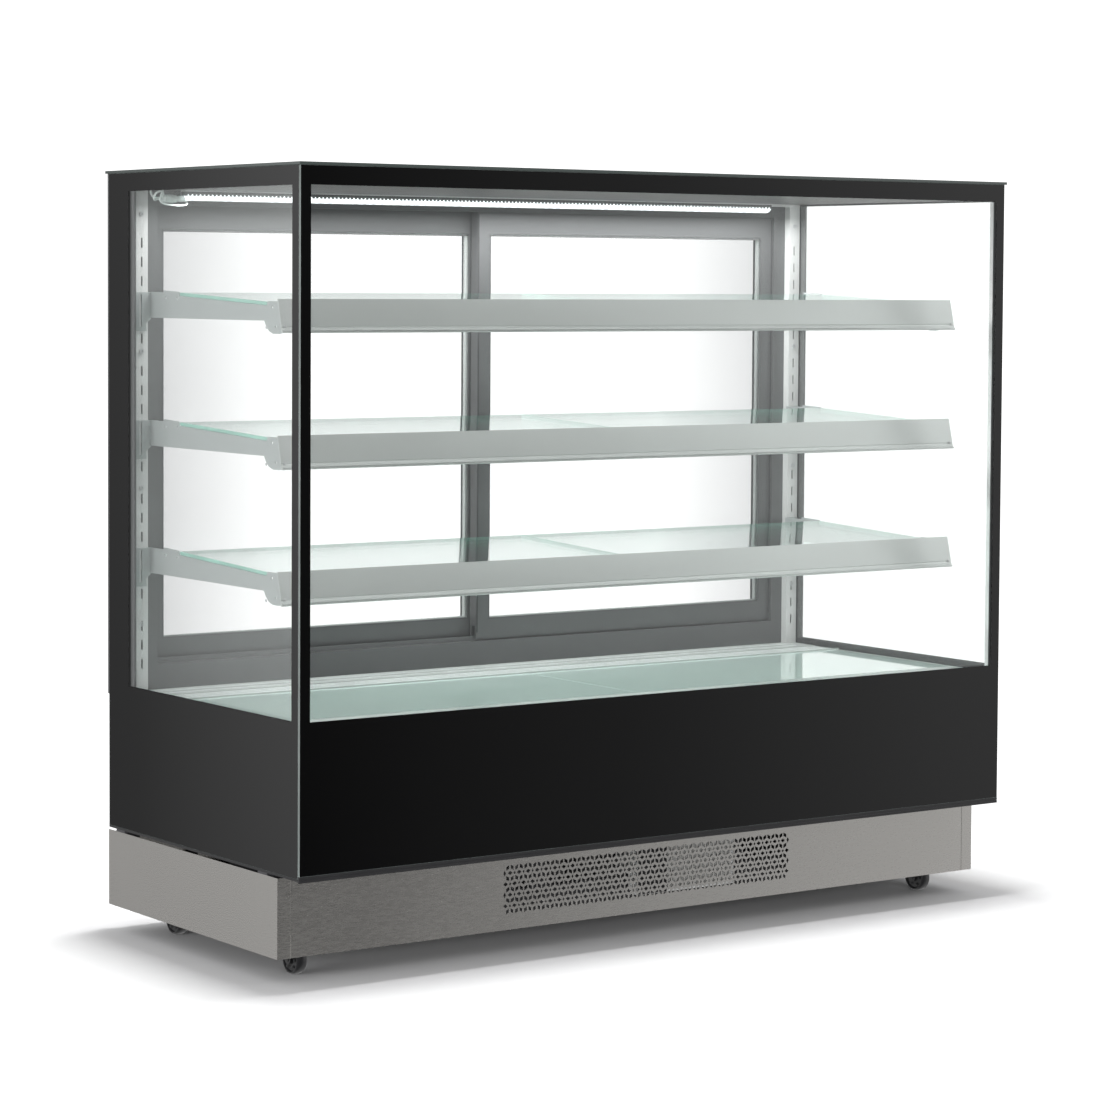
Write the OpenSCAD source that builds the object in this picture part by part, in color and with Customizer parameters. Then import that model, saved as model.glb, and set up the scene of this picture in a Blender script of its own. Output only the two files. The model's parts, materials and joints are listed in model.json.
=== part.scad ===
/* Refrigerated deli case: square glass display with three hooked shelves, sliding rear doors,
   an insulated tub, a plinth with a perforated intake and four swivel casters.
   Millimetres, +Z up, origin on the floor under the middle of the case, front towards -Y. */

/* [Case] */
// Width over the outer side glass
body_w = 1500; // [1300:10:1800]
// Depth from the outer front glass to the back of the rear frame
body_d = 650; // [640:2:700]
// Overall height to the top of the roof glass
overall_h = 1321; // [1290:1:1400]
// Underside of the black lower body
body_low = 178; // [170:1:184]
// Lower edge of the clear window
window_low = 432; // [428:1:436]
// Depth of the border between the roof and the clear window
window_top_border = 36; // [34:1:44]

/* [Glazing] */
// Thickness of the outer panes
outer_pane = 4; // [4:0.5:6]
// Thickness of the inner panes
inner_pane = 3; // [3:0.5:4]
// Overall thickness of the insulated side and front glass
glazing_t = 12; // [11:0.5:14]
// Black printed border beside the front window
front_border = 19.5; // [18:0.5:24]
// Black printed border at the front of a side window
side_front_border = 25.5; // [24:0.5:30]
// Black printed border at the rear of a side window
side_rear_border = 75.7; // [72:0.1:90]
// Thickness of the roof glass
roof_t = 5; // [4:0.5:8]
// Overhang of the roof glass on every side
roof_over = 3; // [3:0.5:6]

/* [Rear doors] */
// Height of the bottom of the door opening
door_low = 466; // [460:1:470]
// Height of the top of the door opening
door_high = 1262; // [1250:1:1266]
// Width of the rear frame's side posts
post_w = 52; // [50:1:70]
// Thickness of a sliding door
door_t = 22; // [20:1:22]
// Width of a door's upright members
stile_w = 29; // [27:1:36]
// Overlap of the closed doors at the middle
door_overlap = 26; // [20:1:30]

/* [Shelves] */
// Height of the top edge of the highest shelf rail
shelf_top = 1104; // [1080:1:1110]
// Spacing of the shelves
shelf_pitch = 220.5; // [215:0.5:225]
// Slope of the shelf glass towards the front, in degrees
shelf_slope = 2.6; // [2:0.1:3]
// Thickness of the shelf glass
shelf_glass_t = 6; // [5:0.5:6]
// Height of the shelf front rail
rail_h = 55; // [50:1:60]
// Spacing of the slots in a shelf standard
slot_pitch = 33; // [33:0.5:35]

/* [Plinth and casters] */
// Height of the plinth's lower edge
plinth_low = 42; // [38:1:46]
// Height of the plinth's upper edge
plinth_high = 174; // [168:1:176]
// Setback of the plinth front behind the front glass
plinth_setback = 68.4; // [60:0.1:80]
// Horizontal pitch of the perforation
perf_pitch = 18.5; // [18:0.1:19]
// Caster wheel radius
wheel_r = 25; // [24:0.5:26]
// Caster wheel width
wheel_w = 20; // [16:1:22]
// Distance of a caster's wheel axle from its swivel axis
caster_trail = 22; // [18:1:24]

/* [Hidden] */

$fn = 48;
eps = 0.5;

// Planes of the case
half_w = body_w / 2;
half_d = body_d / 2;
roof_low = overall_h - roof_t;
window_high = overall_h - window_top_border;
enamel_t = 0.3;
in_x = half_w - glazing_t;            // inner face of the side glazing
in_y = -half_d + glazing_t;           // inner face of the front glazing
fit = 0.5;                            // joint between fixed panels
side_y0 = -half_d + outer_pane + fit; // front edge of a side pane
side_y1 = half_d - 5;                 // rear edge of a side pane
trim_h = 8;                           // bottom trim of the front glass
side_trim_h = 4;
frame_y = half_d - 62;                // front face of the rear frame
tub_top = 412;
deck_z = 420;
lining_z = roof_low - 28;

// Doors
open_x = in_x - fit - post_w;         // half width of the door opening
door_w = open_x + door_overlap / 2;
door_z0 = door_low + 4;
door_z1 = door_high + 8;
right_door_y = frame_y + 7;
left_door_y = right_door_y + door_t + 4;
top_rail_h = door_z1 - door_high + 41;
bottom_rail_h = 38;
glass_bite = 8;
door_gap_y = 3;                       // frame lip over the door glazing
track_t = 3;
track_h = 8;
roller_r = 8;
roller_z = door_low + track_h + roller_r + 0.3;

// Shelf standards
std_w = 25;
std_d = frame_y - 248;
std_x = in_x - fit - std_w / 2;       // middle of a standard
std_y = frame_y - std_d;
slot_x = std_x - 0.8;
slot_w = 3;
slot_h = 17;
slot_top = 1197;
slots_per_group = 6;
screw_top = 1246;
screw_step = 235.8;

// Shelves
plate_x = 709;                        // outer face of a bracket plate
plate_t = 1.5;
rail_half = 723;
rail_y = -210;                        // top front edge of a rail
rail_lean = 0.25;                     // forward lean of the rail, per unit of height
glass_rear_y = 143.6;
glass_rise = 8.2;                     // glass top at its rear edge above the rail top
glass_len = 350;

// Deck
deck_y0 = -218;
deck_y1 = 113;
deck_half = 728;

// Plinth and casters
plinth_y = -half_d + plinth_setback;
sheet = 1.2;
flange_w = 25;
frame_z0 = 72;
frame_z1 = 102;
caster_x = 677;
caster_front_y = -189 + caster_trail;
caster_rear_y = 207 + caster_trail;
rear_plinth_y = 300;
plate_z = frame_z0 - 2.5;
bore_gap = 0.06;                      // radial clearance of a turning joint

// Machinery
condenser_x = [-20, 190];
fan_x = 85;
fan_z = 160;
compressor_xy = [330, -20];
evap_fan_xy = [-600, 120];
switch_z = 318;
light_x = 486;
power_x = 446;
rocker_tilt = 8;
gland_x = -600;
gland_z = 118;

// Lamp under the roof lining
lamp_x = 650;
lamp_y = 245;
lead_z = 1272;

module bx(x0, x1, y0, y1, z0, z1) {
    translate([x0, y0, z0]) cube([x1 - x0, y1 - y0, z1 - z0]);
}

// Bar running the same on both sides of the middle plane
module both_x(x0, x1, y0, y1, z0, z1) {
    bx(x0, x1, y0, y1, z0, z1);
    bx(-x1, -x0, y0, y1, z0, z1);
}

module mirrored() {
    children();
    mirror([1, 0, 0]) children();
}

// Extrudes a YZ outline along X
module along_x(x0, x1) {
    translate([x0, 0, 0]) rotate([90, 0, 90]) linear_extrude(x1 - x0) children();
}

// Cylinder whose axis runs along X or Y
module cyl_x(x0, x1, y, z, r) {
    translate([x0, y, z]) rotate([0, 90, 0]) cylinder(r = r, h = x1 - x0);
}

module cyl_y(x, y0, y1, z, r) {
    translate([x, y0, z]) rotate([-90, 0, 0]) cylinder(r = r, h = y1 - y0);
}

// ---------------------------------------------------------------- base and plinth
module base_frame() {
    rail = 30;
    front = plinth_y + 34.6;
    rear = rear_plinth_y - 4;
    out = half_w - sheet;
    color("#2b2d2f") {
        difference() {
            union() {
                difference() {
                    bx(-out, out, front, rear, frame_z0, frame_z1);
                    bx(-out + rail, out - rail, front + rail, rear - rail,
                        frame_z0 - eps, frame_z1 + eps);
                }
                for (x = [-260, 480]) bx(x, x + rail, front + rail, rear - rail, frame_z0, frame_z1);
                bx(-260, 510, front + rail, rear - rail, frame_z1 - 2, frame_z1);
                for (y = [caster_front_y, caster_rear_y])
                    both_x(caster_x - 45, out - rail, y - 40, y + 36, frame_z0, frame_z0 + 4);
                for (x = [200, out - rail], y = [front, rear - rail])
                    both_x(x, x + rail, y, y + rail, frame_z1, body_low);
                for (x = [480, 690]) both_x(x, x + rail, plinth_y + 1.4, front, frame_z0 + 4, frame_z0 + 24);
            }
            for (x = [-caster_x, caster_x], y = [caster_front_y, caster_rear_y])
                translate([x, y, frame_z0 - eps]) cylinder(r = 8, h = 6);
        }
    }
}

// One cell of the perforation: paired slanted slots lean towards the diamonds below them
module slanted_slot(x, z, lean) {
    w = 6.6;
    side = 6.2;
    shear = 3.4;
    half = side / 2;
    translate([x, z]) polygon([
        [-w / 2, -half - lean * shear / 2], [w / 2, -half + lean * shear / 2],
        [w / 2, half + lean * shear / 2], [-w / 2, half - lean * shear / 2]]);
}

module diamond(x, z, w, h) {
    translate([x, z]) polygon([[-w / 2, 0], [0, -h / 2], [w / 2, 0], [0, h / 2]]);
}

// Punches an XZ outline through the plinth front
module punch() {
    translate([0, plinth_y - 1, 0]) rotate([90, 0, 0]) mirror([0, 0, 1])
        linear_extrude(4) children();
}

module perforation() {
    cols = 33;
    mid = (cols - 1) / 2;
    z0 = (plinth_low + plinth_high) / 2 + 2.5;
    for (r = [0:3]) {
        z = z0 + (1.5 - r) * perf_pitch;
        odd = r % 2;
        for (i = [0:cols - 1 + odd])
            punch() diamond((i - mid - odd / 2) * perf_pitch, z, 9.6, 7.4);
        for (i = [0:cols - odd - (odd == 0 ? 2 : 0)])
            punch() diamond((i - mid + (odd == 0 ? 0.5 : 0)) * perf_pitch, z, 4.4, 6.4);
        if (odd == 0) for (s = [-1, 1])
            punch() diamond(s * (mid + 0.6) * perf_pitch, z, 5.4, 10.5);
    }
    for (r = [0:4]) {
        z = z0 + (2 - r) * perf_pitch;
        for (i = [0:2 * cols - 1])
            punch() slanted_slot((i - cols + 0.5) * perf_pitch / 2, z,
                (i % 2 == 0 ? 1 : -1) * (r % 2 == 0 ? 1 : -1));
    }
}

module plinth_front_panel() {
    out = half_w - flange_w - fit;
    color("#8f8a82") {
        difference() {
            bx(-out, out, plinth_y, plinth_y + 1.4, plinth_low, plinth_high);
            perforation();
        }
        for (z = [plinth_low, plinth_high - 1.4])
            bx(-out, out, plinth_y + 1.4, plinth_y + 9.6, z, z + 1.4);
    }
}

module plinth_side_panels() {
    color("#a9a9a6") mirrored() {
        bx(half_w - sheet, half_w, plinth_y, side_y1 + 2, plinth_low, plinth_high);
        bx(half_w - flange_w, half_w - sheet, plinth_y, plinth_y + sheet, plinth_low, plinth_high);
    }
}

module plinth_rear_panel() {
    out = half_w - sheet;
    rows = 5;
    cols = 9;
    color("#9b9b98") difference() {
        bx(-out, out, rear_plinth_y - sheet, rear_plinth_y, plinth_low, plinth_high);
        for (r = [0:rows - 1], c = [0:cols - 1])
            translate([(c - (cols - 1) / 2) * 75, rear_plinth_y - 3, frame_z1 + 14 + r * 11])
                cube([52, 6, 5]);
        cyl_y(gland_x, rear_plinth_y - 5, rear_plinth_y + 5, gland_z, 9);
    }
}

// ---------------------------------------------------------------- tub
module tank_shell() {
    out = half_w - outer_pane - enamel_t - 0.1;
    front = -half_d + outer_pane + enamel_t + 0.1;
    color("#d8d8d2") difference() {
        bx(-out, out, front, side_y1, body_low, tub_top);
        bx(-690, 690, -265, 235, 300, tub_top + eps);
        bx(-700, 700, -290, 290, body_low - eps, 262);
        controller_pockets();
    }
}

module controller_pockets() {
    bx(562, 635, side_y1 - 62, side_y1 + 3, switch_z - 16, switch_z + 16);
    for (x = [light_x, power_x])
        bx(x - 12, x + 12, side_y1 - 24, side_y1 + 3, switch_z - 9, switch_z + 9);
}

module tank_liner() {
    color("#c9cbcb") difference() {
        bx(-690, 690, -265, 235, 300, tub_top);
        bx(-689, 689, -264, 234, 301, tub_top + eps);
    }
}

module rear_panel() {
    color("#a2a4a4") difference() {
        bx(-half_w + 0.5, half_w - 0.5, side_y1, side_y1 + 1.5, body_low, tub_top);
        controller_pockets();
    }
}

// ---------------------------------------------------------------- glazing
module front_glass() {
    color("#bfe3dc", 0.35) {
        bx(-half_w, half_w, -half_d, -half_d + outer_pane, body_low + trim_h, roof_low);
        bx(-in_x, in_x, in_y - inner_pane, in_y, tub_top, roof_low);
    }
}

module side_pane_pair() {
    bx(half_w - outer_pane, half_w, side_y0, side_y1, body_low + side_trim_h, roof_low);
    bx(in_x, in_x + inner_pane, in_y + fit, side_y1, tub_top, roof_low);
}

module right_glass() { color("#bfe3dc", 0.35) side_pane_pair(); }
module left_glass() { color("#bfe3dc", 0.35) mirror([1, 0, 0]) side_pane_pair(); }

// Flat ring in the XZ plane
module ring_xz(x0, x1, z0, z1, wx, wz0, wz1, y0, y1) {
    difference() {
        bx(x0, x1, y0, y1, z0, z1);
        bx(x0 + wx, x1 - wx, y0 - eps, y1 + eps, z0 + wz0, z1 - wz1);
    }
}

module glass_spacers() {
    y0 = -half_d + outer_pane + enamel_t;
    x0 = in_x + inner_pane;
    x1 = half_w - outer_pane - enamel_t;
    top = window_high + 11;
    color("#3a3c3e") {
        ring_xz(-in_x, in_x, tub_top + 1, top, 6.5, window_low - tub_top - 2, 10,
            y0, in_y - inner_pane);
        mirrored() difference() {
            bx(x0, x1, in_y + fit, frame_y, tub_top + 1, top);
            bx(x0 - eps, x1 + eps, -half_d + side_front_border - 1.5, frame_y - 12,
                window_low - 1, window_high + 1);
        }
    }
}

module glass_enamel() {
    y0 = -half_d + outer_pane;
    x1 = half_w - outer_pane;
    color("#141414") {
        ring_xz(-half_w + 0.5, half_w - 0.5, body_low + trim_h, roof_low, front_border - 0.5,
            window_low - body_low - trim_h, roof_low - window_high, y0, y0 + enamel_t);
        mirrored() difference() {
            bx(x1 - enamel_t, x1, side_y0, side_y1, body_low + side_trim_h, roof_low);
            bx(x1 - 1, x1 + 1, -half_d + side_front_border, half_d - side_rear_border,
                window_low, window_high);
        }
    }
}

module edge_trims() {
    color("#101010") {
        difference() {
            bx(-half_w, half_w, -half_d, -half_d + outer_pane + enamel_t,
                body_low - 2, body_low + trim_h);
            bx(-half_w - 1, half_w + 1, -half_d - 1, -half_d + 0.8,
                body_low + 2.6, body_low + 3.8);
        }
        both_x(half_w - outer_pane - enamel_t, half_w, side_y0, side_y1,
            body_low, body_low + side_trim_h);
    }
}

module top_panel() {
    color("#1c1f20") bx(-half_w - roof_over, half_w + roof_over,
        -half_d - roof_over, half_d + roof_over, roof_low, overall_h);
}

module top_lining() {
    t = 1.2;
    color("#8b8e8f") difference() {
        bx(-in_x + fit, in_x - fit, in_y + fit, frame_y, lining_z, roof_low);
        bx(-in_x + fit + t, in_x - fit - t, in_y + fit + t, frame_y - t, lining_z + t, roof_low + eps);
    }
}

// ---------------------------------------------------------------- rear frame and doors
module rear_frame() {
    out = in_x - fit;
    color("#6e7172") difference() {
        union() {
            bx(-out, out, frame_y, half_d, tub_top, roof_low);
            both_x(out - eps, half_w, side_y1, half_d, tub_top, roof_low);
        }
        bx(-open_x, open_x, frame_y - eps, half_d + eps, door_low, door_high);
        bx(-open_x, open_x, right_door_y - 1, left_door_y + door_t + 1,
            door_high - eps, door_z1 + 4);
    }
}

module door_tracks() {
    mid_y = (right_door_y + door_t + left_door_y) / 2;
    color("#b4b6b6") {
        for (y = [right_door_y, left_door_y])
            bx(-open_x, open_x, y + (door_t - track_t) / 2, y + (door_t + track_t) / 2,
                door_low, door_low + track_h);
        bx(-open_x, open_x, mid_y - 0.8, mid_y + 0.8, door_high, door_z1 + 4);
    }
}

// Door drawn from x = 0 to door_w, with its front face at y = 0
module door_frame_shape(pull_at_start) {
    groove_x = pull_at_start ? 8 : door_w - 20;
    difference() {
        bx(0, door_w, 0, door_t, door_z0, door_z1);
        bx(stile_w, door_w - stile_w, -eps, door_t + eps,
            door_z0 + bottom_rail_h, door_z1 - top_rail_h);
        bx(stile_w - glass_bite, door_w - stile_w + glass_bite, door_gap_y, door_t - door_gap_y,
            door_z0 + bottom_rail_h - glass_bite, door_z1 - top_rail_h + glass_bite);
        bx(-eps, door_w + eps, door_t / 2 - 5.5, door_t / 2 + 5.5, door_z0 - eps, door_z0 + 23);
        bx(groove_x, groove_x + 12, door_t - 9, door_t + eps,
            door_z0 + bottom_rail_h + 6, door_z1 - top_rail_h - 6);
    }
}

module door_glass_shape() {
    x0 = stile_w - glass_bite + fit;
    x1 = door_w - stile_w + glass_bite - fit;
    z0 = door_z0 + bottom_rail_h - glass_bite + fit;
    z1 = door_z1 - top_rail_h + glass_bite - fit;
    bx(x0, x1, door_gap_y, door_gap_y + 4, z0, z1);
    bx(x0, x1, door_t - door_gap_y - 4, door_t - door_gap_y, z0, z1);
}

module door_spacer_shape() {
    x0 = stile_w - glass_bite + fit;
    x1 = door_w - stile_w + glass_bite - fit;
    z0 = door_z0 + bottom_rail_h - glass_bite + fit;
    z1 = door_z1 - top_rail_h + glass_bite - fit;
    band = glass_bite + 1;
    ring_xz(x0, x1, z0, z1, band, band, band, door_gap_y + 4, door_t - door_gap_y - 4);
}

module door_rollers_shape() {
    for (x = [70, door_w - 70]) track_roller(x);
}

// Track roller on its axle, which runs along Y through the rail's channel
module track_roller(x) {
    cyl_y(x, door_t / 2 - 3, door_t / 2 + 3, roller_z, roller_r);
    cyl_y(x, door_t / 2 - 5.5, door_t / 2 + 5.5, roller_z, 2.5);
}

module place_left_door() { translate([-open_x, left_door_y, 0]) children(); }
module place_right_door() { translate([open_x - door_w, right_door_y, 0]) children(); }

module door_left_frame() { color("#7b7e7f") place_left_door() door_frame_shape(true); }
module door_left_glass() { color("#bfe3dc", 0.35) place_left_door() door_glass_shape(); }
module door_left_spacer() { color("#cfd1d0") place_left_door() door_spacer_shape(); }
module door_left_rollers() { color("#e6e4dc") place_left_door() door_rollers_shape(); }
module door_right_frame() { color("#7b7e7f") place_right_door() door_frame_shape(false); }
module door_right_glass() { color("#bfe3dc", 0.35) place_right_door() door_glass_shape(); }
module door_right_spacer() { color("#cfd1d0") place_right_door() door_spacer_shape(); }
module door_right_rollers() { color("#e6e4dc") place_right_door() door_rollers_shape(); }

// ---------------------------------------------------------------- deck
module deck_frame() {
    lip = 13;
    color("#c6c8c7") difference() {
        bx(-in_x + fit, in_x - fit, in_y + fit, deck_y1 + 1, tub_top, deck_z);
        bx(-deck_half - 0.5, deck_half + 0.5, deck_y0 - 0.5, deck_y1 + 0.5, deck_z - 6, deck_z + eps);
        mirrored() bx(12, deck_half - lip, deck_y0 + lip, deck_y1 - lip, tub_top - eps, deck_z);
        mirrored() for (i = [0:7])
            bx(25 + i * 85, 85 + i * 85, in_y + 22, in_y + 26, tub_top - eps, deck_z + eps);
    }
}

module deck_ledge() {
    y0 = deck_y1 + 1.5;
    color("#d5d7d6") difference() {
        union() {
            bx(-in_x + fit, in_x - fit, y0, frame_y, tub_top, deck_z);
            bx(-in_x + fit, in_x - fit, y0 + 72, frame_y, deck_z - eps, deck_z + 1.2);
            bx(-in_x + fit, in_x - fit, y0, y0 + 4, deck_z - eps, deck_z + 2.5);
        }
        for (x = [-std_x, std_x]) bx(x - std_w / 2 - 1, x + std_w / 2 + 1, std_y - 1, frame_y + 1,
            tub_top + 6, deck_z + 2);
        mirrored() for (i = [0:7], y = [y0 + 90, y0 + 104])
            bx(25 + i * 85, 85 + i * 85, y, y + 4, tub_top - eps, deck_z + 2);
    }
}

module deck_glass() {
    color("#cfe9e2", 0.5) mirrored()
        bx(0.8, deck_half, deck_y0, deck_y1, deck_z - 6, deck_z);
}

// ---------------------------------------------------------------- shelf standards
module standard_profile() {
    bx(std_x - std_w / 2, std_x + std_w / 2, std_y, std_y + 1.5, tub_top + 6, lining_z);
    for (x = [std_x - std_w / 2, std_x + std_w / 2 - 1.5])
        bx(x, x + 1.5, std_y + 1.4, frame_y, tub_top + 6, lining_z);
    for (k = [0:3])
        cyl_y(std_x, std_y + 1.5, frame_y, screw_top - k * screw_step, 4);
}

module shelf_standards() {
    color("#c7cac9") mirrored() difference() {
        standard_profile();
        for (g = [0:3], s = [0:slots_per_group - 1]) {
            z = slot_top - g * shelf_pitch - s * slot_pitch;
            if (z > deck_z + 20)
                bx(slot_x - slot_w / 2, slot_x + slot_w / 2, std_y - 1, std_y + 3,
                    z - slot_h / 2, z + slot_h / 2);
        }
    }
}

module standard_screws() {
    color("#9a9c9d") mirrored() for (k = [0:3]) {
        z = screw_top - k * screw_step;
        difference() {
            cyl_y(std_x, std_y - 1.6, std_y, z, 4.2);
            cyl_y(std_x, std_y - 2, std_y - 0.7, z, 1.6);
        }
    }
}

// ---------------------------------------------------------------- shelves
// Hook through a slot whose middle is at height z; it drops behind the slotted face
module hook(z) {
    bx(slot_x - 1, slot_x + 1, std_y - 2, std_y + 7, z - 8.2, z + 1);
    bx(slot_x - 1, slot_x + 1, std_y + 2.3, std_y + 7, z - 13, z + 1);
}

module bracket(z0) {
    slot_z = z0 - 6;
    low = z0 - 36;
    y_back = std_y - 0.2;
    flange_x0 = std_x + std_w / 2;
    front = rail_y + 2.6;
    difference() {
        union() {
            along_x(plate_x - plate_t, plate_x) polygon([
                [y_back, z0 + 8], [198, z0 + 8], [198, z0 + 11.6], [glass_rear_y, z0 + 9.3],
                [glass_rear_y, z0 + 2], [-150, z0 - 11.4], [-153, z0 - 4], [front - 1, z0 - 4],
                [front - 12, z0 - 48], [-205, z0 - 54], [-190, z0 - 57], [-171, z0 - 57],
                [-158, z0 - 53], [-148, z0 - 44.5], [-142, low], [y_back, low]]);
            translate([0, y_back, 0]) rotate([90, 0, 0]) linear_extrude(1.8) polygon([
                [flange_x0, z0 + 8], [plate_x - plate_t, z0 + 8], [plate_x - plate_t, z0 - 38],
                [flange_x0 - 20, z0 - 46], [flange_x0 - 21.5, z0 - 59], [flange_x0, z0 - 59]]);
        }
        bx(slot_x + 1, slot_x + 5.6, y_back - 5, y_back + 5, z0 - 52, z0 + 4);
        for (y = [190.8, 148.5]) cyl_x(plate_x - 4, plate_x + 2, y, z0 - 1.5, 2.2);
        cyl_x(plate_x - 4, plate_x + 2, -168, z0 - 13.5, 2.6);
        cyl_x(plate_x - 4, plate_x + 2, -180, z0 - 45, 2);
    }
    translate([0, glass_rear_y, z0 + glass_rise]) rotate([shelf_slope, 0, 0])
        bx(plate_x - 18, plate_x - plate_t + 0.2, -292, -4, -shelf_glass_t - 1.7, -shelf_glass_t - 0.1);
    for (z = [slot_z, slot_z - slot_pitch]) hook(z);
}

module shelf_brackets(z0) { color("#aab3b1") mirrored() bracket(z0); }

module shelf_rail(z0) {
    lean_at = function (h) rail_y - rail_lean * h;
    color("#b3bab7") {
        along_x(-rail_half, rail_half) polygon([
            [rail_y, z0], [lean_at(rail_h - 11), z0 - rail_h + 11],
            [lean_at(rail_h - 11) + 0.8, z0 - rail_h + 10.2],
            [lean_at(rail_h - 9) + 0.8, z0 - rail_h + 9], [lean_at(rail_h - 8), z0 - rail_h + 8],
            [lean_at(rail_h - 4), z0 - rail_h + 4], [lean_at(rail_h) - 1.8, z0 - rail_h + 2.5],
            [lean_at(rail_h) - 1.8, z0 - rail_h + 0.8], [lean_at(rail_h), z0 - rail_h],
            [lean_at(rail_h) + 3, z0 - rail_h], [lean_at(rail_h - 4) + 2.5, z0 - rail_h + 4],
            [rail_y + 2.5, z0]]);
        along_x(-plate_x + 2, plate_x - 2) polygon([
            [lean_at(14.4) + 2.4, z0 - 14.4], [-190, z0 - 13.4], [-190, z0 - 15.4],
            [lean_at(16.4) + 2.4, z0 - 16.4]]);
    }
}

module shelf_glass(z0) {
    color("#bfe3dc", 0.35) mirrored()
        translate([0, glass_rear_y, z0 + glass_rise]) rotate([shelf_slope, 0, 0])
        bx(0.6, plate_x - plate_t - 0.2, -glass_len, 0, -shelf_glass_t, 0);
}

function shelf_z(i) = shelf_top - i * shelf_pitch;

module shelf_1_brackets() { shelf_brackets(shelf_z(0)); }
module shelf_2_brackets() { shelf_brackets(shelf_z(1)); }
module shelf_3_brackets() { shelf_brackets(shelf_z(2)); }
module shelf_1_rail() { shelf_rail(shelf_z(0)); }
module shelf_2_rail() { shelf_rail(shelf_z(1)); }
module shelf_3_rail() { shelf_rail(shelf_z(2)); }
module shelf_1_glass() { shelf_glass(shelf_z(0)); }
module shelf_2_glass() { shelf_glass(shelf_z(1)); }
module shelf_3_glass() { shelf_glass(shelf_z(2)); }

// ---------------------------------------------------------------- lamp
module lamp_channel() {
    color("#c3c6c6") {
        bx(-lamp_x, lamp_x, lamp_y - 20, lamp_y, lining_z - 2, lining_z);
        bx(-lamp_x, lamp_x, lamp_y - 2, lamp_y, lining_z - 18, lining_z - 2);
        bx(lamp_x, lamp_x + 60, lamp_y - 14, lamp_y - 8, lining_z - 5, lining_z);
    }
}

module lamp_diffuser() {
    color("#fbfdff") along_x(-lamp_x, lamp_x) intersection() {
        translate([lamp_y - 2, lining_z - 2]) circle(r = 15);
        translate([lamp_y - 2 - 16, lining_z - 2 - 16]) square(16);
    }
}

module lamp_lead() {
    bend = 9;
    r = 2.4;
    y = lamp_y - 10;
    color("#e3ecea") {
        cyl_x(-lamp_x - 48, -lamp_x - 8, y, lead_z, 7);
        cyl_x(-lamp_x - 8, -lamp_x, y, lead_z, r);
        translate([-lamp_x - 48, y, lead_z + bend]) rotate([90, 0, 0])
            rotate_extrude(angle = 90, start = 180) translate([bend, 0]) circle(r = r);
        translate([-lamp_x - 48 - bend, y, lead_z + bend]) cylinder(r = r, h = lining_z - lead_z - bend);
    }
}

// ---------------------------------------------------------------- casters
module caster_plates() {
    color("#9da0a2") for (x = [-caster_x, caster_x], y = [caster_front_y, caster_rear_y])
        difference() {
            bx(x - 30, x + 30, y - 26, y + 26, plate_z, frame_z0);
            translate([x, y, plate_z - eps]) cylinder(r = 5 + bore_gap, h = 4);
        }
}

module caster_fork(x, y) {
    leg_in = wheel_w / 2 + 2;
    leg_t = 2;
    axle_y = y - caster_trail;
    color("#8c8f91") {
        translate([x, y, plate_z - 0.3 - 4]) difference() {
            cylinder(r = 20, h = 4);
            translate([0, 0, 3]) rotate_extrude() translate([20, 0]) circle(r = 1.2);
        }
        translate([x, y, plate_z - 1]) cylinder(r = 5, h = 3);
        bx(x - leg_in - leg_t, x + leg_in + leg_t, y - 18, y + 14, plate_z - 6.3, plate_z - 4.2);
        for (s = [-1, 1]) {
            x0 = s > 0 ? x + leg_in : x - leg_in - leg_t;
            along_x(x0, x0 + leg_t) union() {
                polygon([[y + 14, plate_z - 6.2], [y - 18, plate_z - 6.2],
                    [axle_y - 8, wheel_r + 3], [axle_y + 6, wheel_r - 6], [y + 2, wheel_r + 14]]);
                translate([axle_y, wheel_r]) circle(r = 8);
            }
        }
        cyl_x(x - leg_in - leg_t - 1.5, x + leg_in + leg_t + 1.5, axle_y, wheel_r, 4);
    }
}

module caster_wheel(x, y) {
    axle_y = y - caster_trail;
    color("#17181a") translate([x - wheel_w / 2, axle_y, wheel_r]) rotate([0, 90, 0])
        rotate_extrude() polygon([
            [4 + bore_gap, 0], [9, 0], [9, 2], [wheel_r - 6, 3], [wheel_r - 4, 0], [wheel_r - 2, 0],
            [wheel_r, 3], [wheel_r, wheel_w - 3], [wheel_r - 2, wheel_w], [wheel_r - 4, wheel_w],
            [wheel_r - 6, wheel_w - 3], [9, wheel_w - 2], [9, wheel_w], [4 + bore_gap, wheel_w]]);
}

module caster_fork_fl() { caster_fork(-caster_x, caster_front_y); }
module caster_fork_fr() { caster_fork(caster_x, caster_front_y); }
module caster_fork_rl() { caster_fork(-caster_x, caster_rear_y); }
module caster_fork_rr() { caster_fork(caster_x, caster_rear_y); }
module caster_wheel_fl() { caster_wheel(-caster_x, caster_front_y); }
module caster_wheel_fr() { caster_wheel(caster_x, caster_front_y); }
module caster_wheel_rl() { caster_wheel(-caster_x, caster_rear_y); }
module caster_wheel_rr() { caster_wheel(caster_x, caster_rear_y); }

// ---------------------------------------------------------------- refrigeration
module compressor() {
    x = compressor_xy[0];
    y = compressor_xy[1];
    color("#1d1f21") {
        translate([x, y, frame_z1 + 16]) cylinder(r = 66, h = 80);
        translate([x, y, frame_z1 + 96]) rotate_extrude() intersection() {
            scale([1, 0.62]) circle(r = 66);
            square(66);
        }
        for (a = [45:90:315]) translate([x + 66 * cos(a), y + 66 * sin(a), frame_z1])
            cylinder(r = 12, h = 18);
        bx(x + 60, x + 84, y - 24, y + 24, frame_z1 + 40, frame_z1 + 90);
    }
}

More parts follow.
